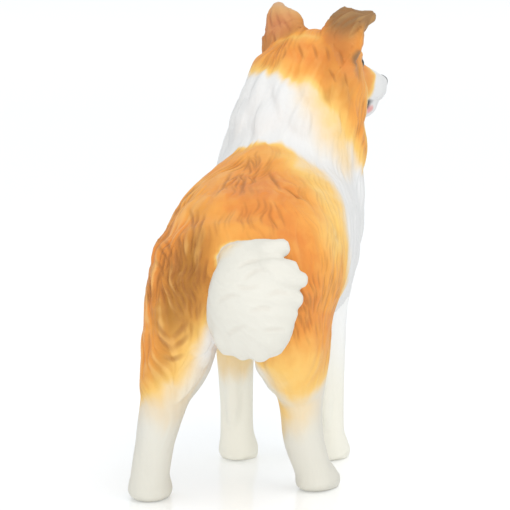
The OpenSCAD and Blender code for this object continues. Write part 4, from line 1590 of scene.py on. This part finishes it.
PAINT_COLOURS = ("under", "cream", "thin", "full", "heavy", "brown", "light", "wash")
OWN_COLOURS = {
    # The forelegs' white and cream are painted lighter than the other pieces': painted light that makes up
    # for the body's shadow on them.
    "foreleg_paint": {"under": (0.90, 0.895, 0.88), "cream": (0.86, 0.83, 0.72)},
    "ear_paint": {"brown": (0.27, 0.15, 0.065)},
}


@dataclass(frozen=True)
class PaintFinish:
    """Matte paint on moulded plastic: colours from the thinnest amber to the heaviest, the brown, a painted
    highlight for the ridges that is partly drybrushed paint, and painted shade for the grooves that is
    partly washed paint.
    """

    name: str
    under: tuple = (0.75, 0.745, 0.735)
    cream: tuple = (0.69, 0.665, 0.58)
    thin: tuple = (0.88, 0.57, 0.16)
    full: tuple = (0.80, 0.34, 0.065)
    heavy: tuple = (0.74, 0.25, 0.045)
    brown: tuple = (0.34, 0.15, 0.022)
    # Painted highlight for the fur's ridges, partly drybrushed paint.
    light: tuple = (0.95, 0.58, 0.20)
    # Painted shade for the fur's grooves and wave valleys, partly the figure's own washed-in dark paint.
    wash: tuple = (0.34, 0.13, 0.03)
    wash_load: float = 0.72
    roughness: float = 0.5
    specular: float = 0.25
    bump: float = 0.35
    grain_height: float = 0.06 * MM

    def material(self, group: bpy.types.NodeTree) -> bpy.types.Material:
        """Builds the material: the shared paint group with this finish's colours, into one shader."""
        made = bpy.data.materials.new(self.name)
        made.use_nodes = True
        tree = made.node_tree
        shader = tree.nodes["Principled BSDF"]
        paint = tree.nodes.new("ShaderNodeGroup")
        paint.node_tree = group
        for name in PAINT_COLOURS:
            paint.inputs[name.capitalize()].default_value = (*getattr(self, name), 1)
        paint.inputs["Wash load"].default_value = self.wash_load
        paint.inputs["Roughness"].default_value = self.roughness
        bump = tree.nodes.new("ShaderNodeBump")
        bump.inputs["Strength"].default_value = self.bump
        bump.inputs["Distance"].default_value = self.grain_height
        tree.links.new(paint.outputs["Color"], shader.inputs["Base Color"])
        tree.links.new(paint.outputs["Roughness"], shader.inputs["Roughness"])
        tree.links.new(paint.outputs["Height"], bump.inputs["Height"])
        tree.links.new(bump.outputs["Normal"], shader.inputs["Normal"])
        shader.inputs["Specular IOR Level"].default_value = self.specular
        return made


class PaintGroup:
    """The node group that every painted piece shares."""

    MOTTLE = (420.0, 3.0)
    MOTTLE_LOAD = 0.09
    GRAIN = (2600.0, 4.0)
    GRAIN_ROUGH = 0.06
    NOISE_RANGE = (0.2, 0.8)
    AMBERS = (("Thin", 0.02, 0.42), ("Full", 0.25, 0.8), ("Heavy", 0.74, 1.04))
    TINTED = (0.0, 0.7, 0.1, 1.0)
    LIT = 0.5
    PINK = (0.75, 0.25, 0.22)
    DARK = (0.012, 0.009, 0.008)
    DARK_GLOSS = 0.3

    def __init__(self) -> None:
        """Makes the group with its sockets."""
        self.tree = bpy.data.node_groups.new("airbrushed_paint", "ShaderNodeTree")
        for name in PAINT_COLOURS:
            self.tree.interface.new_socket(name.capitalize(), in_out="INPUT", socket_type="NodeSocketColor")
        for name in ("Wash load", "Roughness"):
            self.tree.interface.new_socket(name, in_out="INPUT", socket_type="NodeSocketFloat")
        self.tree.interface.new_socket("Color", in_out="OUTPUT", socket_type="NodeSocketColor")
        for name in ("Roughness", "Height"):
            self.tree.interface.new_socket(name, in_out="OUTPUT", socket_type="NodeSocketFloat")
        self.given = self.tree.nodes.new("NodeGroupInput")
        self.result = self.tree.nodes.new("NodeGroupOutput")

    def attribute(self, name: str) -> Socket:
        """A point attribute's value."""
        node = self.tree.nodes.new("ShaderNodeAttribute")
        node.attribute_name = name
        return node.outputs["Fac"]

    def noise(self, scale: float, detail: float) -> Socket:
        """Noise on object coordinates, at a scale in cells a metre."""
        where = self.tree.nodes.new("ShaderNodeTexCoord")
        node = self.tree.nodes.new("ShaderNodeTexNoise")
        node.inputs["Scale"].default_value = scale
        node.inputs["Detail"].default_value = detail
        self.tree.links.new(where.outputs["Object"], node.inputs["Vector"])
        return node.outputs["Fac"]

    def spread(
        self, value: Socket, low: float, high: float, to_low: float = 0.0, to_high: float = 1.0
    ) -> Socket:
        """A value's range moved to another range, eased and held at both ends."""
        node = self.tree.nodes.new("ShaderNodeMapRange")
        node.interpolation_type = "SMOOTHSTEP"
        bounds = {"From Min": low, "From Max": high, "To Min": to_low, "To Max": to_high}
        for name, number in bounds.items():
            node.inputs[name].default_value = number
        self.tree.links.new(value, node.inputs["Value"])
        return node.outputs["Result"]

    def math(self, kind: str, a: Socket, b: Socket | float) -> Socket:
        """Two values combined."""
        node = self.tree.nodes.new("ShaderNodeMath")
        node.operation = kind
        self.tree.links.new(a, node.inputs[0])
        if isinstance(b, float):
            node.inputs[1].default_value = b
        else:
            self.tree.links.new(b, node.inputs[1])
        return node.outputs[0]

    def mix(self, share: Socket, a: Socket, b: Socket | tuple) -> Socket:
        """One colour mixed into another by a share."""
        node = self.tree.nodes.new("ShaderNodeMix")
        node.data_type = "RGBA"
        self.tree.links.new(share, node.inputs["Factor"])
        self.tree.links.new(a, node.inputs["A"])
        if isinstance(b, tuple):
            node.inputs["B"].default_value = (*b, 1)
        else:
            self.tree.links.new(b, node.inputs["B"])
        return node.outputs["Result"]

    def build(self) -> bpy.types.NodeTree:
        """Links the group.

        The colours lie over each other in the order of the work: cream, amber by thickness, brown, a
        painted highlight on the ridges that is partly drybrushed paint, painted shade in the grooves that
        is partly washed paint, pink and dark.

        Returns:
            The finished group.
        """
        given, links = self.given.outputs, self.tree.links
        mottle = self.noise(*self.MOTTLE)
        mottle = self.spread(mottle, *self.NOISE_RANGE, -self.MOTTLE_LOAD, self.MOTTLE_LOAD)
        amber, brown, dark = (self.attribute(name) for name in ("amber", "brown", "dark"))
        load = self.math("ADD", amber, self.math("MULTIPLY", mottle, amber))
        colour = self.mix(self.attribute("cream"), given["Under"], given["Cream"])
        for name, low, high in self.AMBERS:
            colour = self.mix(self.spread(load, low, high), colour, given[name])
        colour = self.mix(brown, colour, given["Brown"])
        tinted = self.spread(self.math("ADD", amber, brown), *self.TINTED)
        # Painted shade in the grooves and painted highlight on the ridges, only where the coat is amber or
        # brown.
        groove = self.math("MULTIPLY", self.attribute("groove"), tinted)
        ridge = self.math("MULTIPLY", self.attribute("ridge"), tinted)
        colour = self.mix(self.math("MULTIPLY", ridge, self.LIT), colour, given["Light"])
        colour = self.mix(self.math("MULTIPLY", groove, given["Wash load"]), colour, given["Wash"])
        colour = self.mix(self.attribute("pink"), colour, self.PINK)
        colour = self.mix(dark, colour, self.DARK)
        grain = self.noise(*self.GRAIN)
        uneven = self.spread(grain, *self.NOISE_RANGE, -self.GRAIN_ROUGH, self.GRAIN_ROUGH)
        rough = self.math("ADD", given["Roughness"], uneven)
        rough = self.math("SUBTRACT", rough, self.math("MULTIPLY", dark, self.DARK_GLOSS))
        links.new(colour, self.result.inputs["Color"])
        links.new(rough, self.result.inputs["Roughness"])
        links.new(grain, self.result.inputs["Height"])
        return self.tree


@dataclass(frozen=True)
class SteelFinish:
    """Drawn steel for the dowel inside the neck, with fine lines along it."""

    name: str = "drawn_steel"
    lines: tuple = (4000, 4000, 150)
    tones: tuple = ((0.38, 0.39, 0.41, 1), (0.62, 0.63, 0.65, 1))
    roughness: tuple = (0.25, 0.45)

    def material(self) -> bpy.types.Material:
        """Builds the material: noise drawn out along the dowel, into colour and roughness."""
        made = bpy.data.materials.new(self.name)
        made.use_nodes = True
        tree = made.node_tree
        shader = tree.nodes["Principled BSDF"]
        shader.inputs["Metallic"].default_value = 1.0
        where = tree.nodes.new("ShaderNodeTexCoord")
        stretch = tree.nodes.new("ShaderNodeMapping")
        stretch.inputs["Scale"].default_value = self.lines
        noise = tree.nodes.new("ShaderNodeTexNoise")
        noise.inputs["Scale"].default_value = 1.0
        tone = tree.nodes.new("ShaderNodeValToRGB")
        for element, colour in zip(tone.color_ramp.elements, self.tones):
            element.color = colour
        gloss = tree.nodes.new("ShaderNodeMapRange")
        gloss.inputs["To Min"].default_value, gloss.inputs["To Max"].default_value = self.roughness
        tree.links.new(where.outputs["Object"], stretch.inputs["Vector"])
        tree.links.new(stretch.outputs["Vector"], noise.inputs["Vector"])
        tree.links.new(noise.outputs["Fac"], tone.inputs["Fac"])
        tree.links.new(noise.outputs["Fac"], gloss.inputs["Value"])
        tree.links.new(tone.outputs["Color"], shader.inputs["Base Color"])
        tree.links.new(gloss.outputs["Result"], shader.inputs["Roughness"])
        return made


class Caster:
    """Turns the finished sheet into one closed mesh for each moulding."""

    INSET = 0.1

    def __init__(self, skin: Skin, fields: dict[str, Array]) -> None:
        """Keeps the sheet and the point values that go onto the meshes."""
        self.skin = skin
        self.fields = fields

    def cast(self, piece: Moulding) -> bpy.types.Object:
        """Makes the piece: its patch of the sheet, closed by a fan of faces behind each open edge.

        Args:
            piece: The moulding to make.

        Returns:
            The new object, at the origin.
        """
        quads = self.skin.quads[self.skin.piece == piece.place]
        used, corners = np.unique(quads, return_inverse=True)
        corners = corners.reshape(-1, 4)
        points = self.skin.points[used]
        rim = self.open_edges(corners)
        centres, fan = self.backs(points, rim)
        mesh = bpy.data.meshes.new(piece.value + "_moulding")
        places = np.vstack([points, centres]) * MM
        mesh.vertices.add(len(places))
        mesh.vertices.foreach_set("co", places.astype(np.float32).ravel())
        loops = np.concatenate([corners.ravel(), fan.ravel()]).astype(np.int32)
        starts = np.concatenate([np.arange(len(corners)) * 4, corners.size + np.arange(len(fan)) * 3])
        mesh.loops.add(len(loops))
        mesh.loops.foreach_set("vertex_index", loops)
        mesh.polygons.add(len(starts))
        mesh.polygons.foreach_set("loop_start", starts.astype(np.int32))
        mesh.update(calc_edges=True)
        mesh.validate()
        mesh.shade_smooth()
        self.crease(mesh, rim, len(places))
        for name, values in self.fields.items():
            kept = np.concatenate([values[used], np.zeros(len(centres))]).astype(np.float32)
            mesh.attributes.new(name, "FLOAT", "POINT").data.foreach_set("value", kept)
        made = bpy.data.objects.new(piece.value + "_moulding", mesh)
        bpy.context.scene.collection.objects.link(made)
        return made

    @staticmethod
    def open_edges(corners: Array) -> Array:
        """The sides that only one face has, each running as its face does."""
        sides, key = sides_of(corners)
        _, place, count = np.unique(key, return_inverse=True, return_counts=True)
        return sides[count[place] == 1]

    @classmethod
    def backs(cls, points: Array, rim: Array) -> tuple[Array, Array]:
        """A centre behind each open loop, a little into the piece, and the fan of faces to it."""
        start, end = rim.T
        _, number = np.unique(grouped(len(points), start, end)[start], return_inverse=True)
        count = np.bincount(number)
        middles = np.column_stack([np.bincount(number, points[start, k]) / count for k in range(3)])
        centres = (1 - cls.INSET) * middles + cls.INSET * points.mean(axis=0)
        return centres, np.column_stack([end, start, len(points) + number])

    @staticmethod
    def crease(mesh: bpy.types.Mesh, rim: Array, count: int) -> None:
        """Marks the seam's edges sharp, so that the back faces don't darken the seam."""
        edges = np.empty(len(mesh.edges) * 2, np.int32)
        mesh.edges.foreach_get("vertices", edges)
        both = (edges.reshape(-1, 2), rim)
        keys = [np.sort(pairs, axis=1).astype(np.int64) @ np.array([count, 1]) for pairs in both]
        sharp = mesh.attributes.new("sharp_edge", "BOOLEAN", "EDGE")
        sharp.data.foreach_set("value", np.isin(*keys))


@dataclass(frozen=True)
class Figure:
    """The whole figure: its sub-assemblies, its clay and its coat."""

    low: Array = field(default_factory=lambda: vec(-22, -43, -1.5))
    high: Array = field(default_factory=lambda: vec(22, 42, 85))
    step: float = 0.38
    quick_step: float = 0.8
    parting: float = -1.4
    sole: float = 0.05
    easing_rounds: int = 3
    carried: tuple = (0.2, 0.3)
    left_fore_paw: tuple = (6.2, -13.8, 0.0)
    right_fore_paw: tuple = (-9.8, -16.8, 0.0)
    left_hind_paw: tuple = (14.0, 20.2, 0.0)
    right_hind_paw: tuple = (-11.8, 7.7, 0.0)
    left_toe_out: float = math.radians(16)
    right_toe_out: float = math.radians(6)
    left_ear: tuple = (
        (-2.5, 5.6, -0.6, 4.0, 2.3),
        (-3.0, 6.0, 4.2, 4.7, 2.1),
        (-3.1, 6.2, 7.2, 4.4, 1.9),
        (-2.8, 7.2, 9.1, 3.2, 1.7),
        (-2.4, 7.9, 10.4, 2.1, 1.4),
        (-1.8, 8.2, 11.1, 1.2, 1.1),
    )
    left_fold: tuple = ((-1.5, 7.6, 10.0, 2.1, 0.9), (0.0, 7.2, 9.6, 1.9, 0.9), (1.3, 6.6, 8.8, 1.0, 0.8))
    right_ear: tuple = (
        (-2.5, 4.4, 0.0, 3.4, 2.2),
        (-3.0, 5.2, 3.6, 4.2, 2.1),
        (-2.8, 6.8, 7.0, 4.4, 1.8),
        (-2.2, 8.6, 9.0, 3.7, 1.4),
        (-0.8, 10.5, 9.8, 1.4, 0.9),
    )
    right_fold: tuple = ((-1.4, 7.8, 8.8, 2.2, 0.9), (0.0, 7.6, 8.3, 2.0, 0.9), (0.9, 7.2, 7.0, 1.0, 0.8))
    left_hind: tuple = (
        (8.8, 17.3, 41.4, 5.0, 8.7),
        (8.9, 17.5, 31.0, 6.1, 10.0),
        (9.7, 18.5, 24.5, 5.7, 8.2),
        (10.9, 21.6, 18.6, 4.1, 5.6),
        (11.8, 22.8, 14.4, 3.6, 4.4),
        (12.9, 22.8, 9.1, 3.2, 3.5),
        (14.0, 21.6, 3.4, 3.3, 3.3),
        (14.2, 21.2, 0.7, 3.4, 3.4),
    )
    left_breech: tuple = (
        (6.5, 22.5, 37.0, 6.0, 5.5),
        (7.5, 22.5, 30.0, 5.6, 5.2),
        (9.5, 22.5, 24.0, 4.4, 4.6),
        (11.2, 23.0, 19.5, 2.8, 3.4),
    )
    right_breech: tuple = (
        (-8.0, 21.5, 37.0, 6.0, 5.8),
        (-8.6, 19.5, 30.0, 5.4, 5.4),
        (-9.0, 16.5, 24.0, 4.2, 5.0),
        (-9.4, 14.0, 19.5, 2.8, 3.6),
    )
    right_hind: tuple = (
        (-9.4, 17.0, 39.9, 5.2, 8.8),
        (-9.2, 15.5, 31.0, 6.0, 9.8),
        (-9.4, 13.0, 24.5, 5.6, 8.0),
        (-9.6, 11.2, 18.6, 4.3, 5.6),
        (-9.7, 10.8, 14.4, 3.5, 4.6),
        (-10.1, 10.6, 9.1, 3.4, 3.6),
        (-11.5, 9.2, 3.4, 3.1, 3.2),
        (-11.8, 8.9, 0.7, 3.2, 3.2),
    )

    def sculpted(self, head: HeadPlace) -> Clay:
        """Models every sub-assembly in clay."""
        clay = Clay(VoxelGrid.over(self.low, self.high, self.step))
        left_hind, right_hind = vec(*self.left_hind_paw), vec(*self.right_hind_paw)
        forms = (
            Torso(),
            HindLeg(LEFT, left_hind, self.left_hind, self.left_breech, self.left_toe_out),
            HindLeg(RIGHT, right_hind, self.right_hind, self.right_breech, self.right_toe_out),
            Foreleg(LEFT, vec(*self.left_fore_paw)),
            Foreleg(RIGHT, vec(*self.right_fore_paw)),
            Ruff(),
            Head(head),
            Ear(head, LEFT, self.left_ear, self.left_fold),
            Ear(head, RIGHT, self.right_ear, self.right_fold),
            Tail(),
        )
        for form in forms:
            form.model(clay)
        clay.level()
        return clay

    def coated(self, head: HeadPlace) -> tuple[Skin, dict[str, Array]]:
        """Skins, parts, combs and paints the figure.

        Returns:
            The sheet, and the paint, groove and ridge values of its points.
        """
        clay = self.sculpted(head)
        skin = parted(skinned(clay), self.parting).refined()
        floor = skin.points[:, 2] < self.sole
        smooth = skin.smoothed(skin.points, self.easing_rounds)
        smooth[floor, 2] = skin.points[floor, 2]
        skin = Skin(smooth, skin.quads, skin.piece)
        comb, coat = Comb(clay), Coat(head)
        streaks, way = comb.drawn(skin.points)
        brushed = way * (self.carried[0] * streaks[0] + self.carried[1] * streaks[1])[:, None]
        fields = {paint.value: values for paint, values in Livery(head).painted(skin, brushed).items()}
        cut = Graver(comb).engraved(skin, coat.hairy(skin, fields[Paint.AMBER.value]))
        combed, shades = coat.raised(skin, streaks, cut)
        to_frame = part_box("torso_right")[1].x / MM - self.parting
        settled = Skin(combed.points + vec(to_frame, 0, 0), combed.quads, combed.piece)
        return settled, {**fields, **shades}


@dataclass(frozen=True)
class Studio:
    """Pale floor, soft lights and the photograph's camera."""

    azimuth: float = math.radians(191)
    elevation: float = math.radians(7)
    distance: float = 0.420
    aim: tuple = (-0.0003, 0.0, 0.040)
    lens: float = 172.4
    sensor: float = 36.0
    frame: int = 510
    aim_pixel: tuple = (257, 248)
    floor_half: float = 12.0
    floor_colour: tuple = (0.90, 0.91, 0.92, 1)
    floor_roughness: float = 0.15
    floor_glow: float = 0.16
    sky_colour: tuple = (0.97, 0.99, 1.0, 1)
    sky_strength: float = 0.88
    lamps: tuple = (("key", (-0.25, 0.30, 0.65), 0.5, 1.3), ("fill", (-0.10, 0.62, 0.07), 0.25, 1.1))

    def build(self) -> None:
        """Sets the stage."""
        self.camera()
        self.floor()
        self.lights()
        bpy.context.scene.view_settings.view_transform = "Standard"

    def camera(self) -> None:
        """Puts the camera where the photograph was taken from."""
        data = bpy.data.cameras.new("camera")
        data.lens = self.lens
        data.sensor_width = self.sensor
        data.clip_start = 0.01
        middle = self.frame / 2
        data.shift_x = (middle - self.aim_pixel[0]) / self.frame
        data.shift_y = (self.aim_pixel[1] - middle) / self.frame
        back = Vector((
            math.sin(self.azimuth) * math.cos(self.elevation),
            -math.cos(self.azimuth) * math.cos(self.elevation),
            math.sin(self.elevation),
        ))
        made = bpy.data.objects.new("camera", data)
        turn = (-back).to_track_quat("-Z", "Y").to_matrix().to_4x4()
        made.matrix_world = Matrix.Translation(Vector(self.aim) + back * self.distance) @ turn
        bpy.context.scene.collection.objects.link(made)
        bpy.context.scene.camera = made

    def floor(self) -> None:
        """Lays a pale, faintly glossy floor."""
        mesh = bpy.data.meshes.new("floor")
        half = self.floor_half
        corners = [(-half, -half, 0), (half, -half, 0), (half, half, 0), (-half, half, 0)]
        mesh.from_pydata(corners, [], [(0, 1, 2, 3)])
        made = bpy.data.objects.new("floor", mesh)
        bpy.context.scene.collection.objects.link(made)
        paint = bpy.data.materials.new("pale_floor")
        paint.use_nodes = True
        shader = paint.node_tree.nodes["Principled BSDF"]
        shader.inputs["Base Color"].default_value = self.floor_colour
        shader.inputs["Roughness"].default_value = self.floor_roughness
        shader.inputs["Emission Color"].default_value = self.sky_colour
        shader.inputs["Emission Strength"].default_value = self.floor_glow
        mesh.materials.append(paint)

    def lights(self) -> None:
        """Lights the figure evenly from all round, with a soft key from behind and above the camera."""
        world = bpy.data.worlds.new("studio")
        world.use_nodes = True
        sky = world.node_tree.nodes["Background"]
        sky.inputs["Color"].default_value = self.sky_colour
        sky.inputs["Strength"].default_value = self.sky_strength
        bpy.context.scene.world = world
        for name, place, size, power in self.lamps:
            data = bpy.data.lights.new(name, "AREA")
            data.size = size
            data.energy = power
            made = bpy.data.objects.new(name, data)
            aim = Vector(self.aim) - Vector(place)
            turn = aim.to_track_quat("-Z", "Y").to_matrix().to_4x4()
            made.matrix_world = Matrix.Translation(Vector(place)) @ turn
            bpy.context.scene.collection.objects.link(made)


def main() -> None:
    """Loads the frame, makes and dresses every piece, and sets the studio."""
    logging.basicConfig(level=logging.INFO, format="%(name)s: %(message)s")
    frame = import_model()
    head = HeadPlace()
    skin, fields = Figure().coated(head)
    caster = Caster(skin, fields)
    group = PaintGroup().build()
    slots = dict.fromkeys(piece.slot for piece in Moulding)
    finishes = {slot: PaintFinish(slot, **OWN_COLOURS.get(slot, {})).material(group) for slot in slots}
    for piece in Moulding:
        made = caster.cast(piece)
        made.data.materials.append(finishes[piece.slot])
        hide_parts(piece.value)
        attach(made, "root")
        piece.slot
        LOG.info("%s: %d faces", made.name, len(made.data.polygons))
    dowel = frame["nodes"]["neck_dowel"]
    dowel.data.materials.clear()
    dowel.data.materials.append(SteelFinish().material())
    Studio().build()


if __name__ == "__main__":
    main()
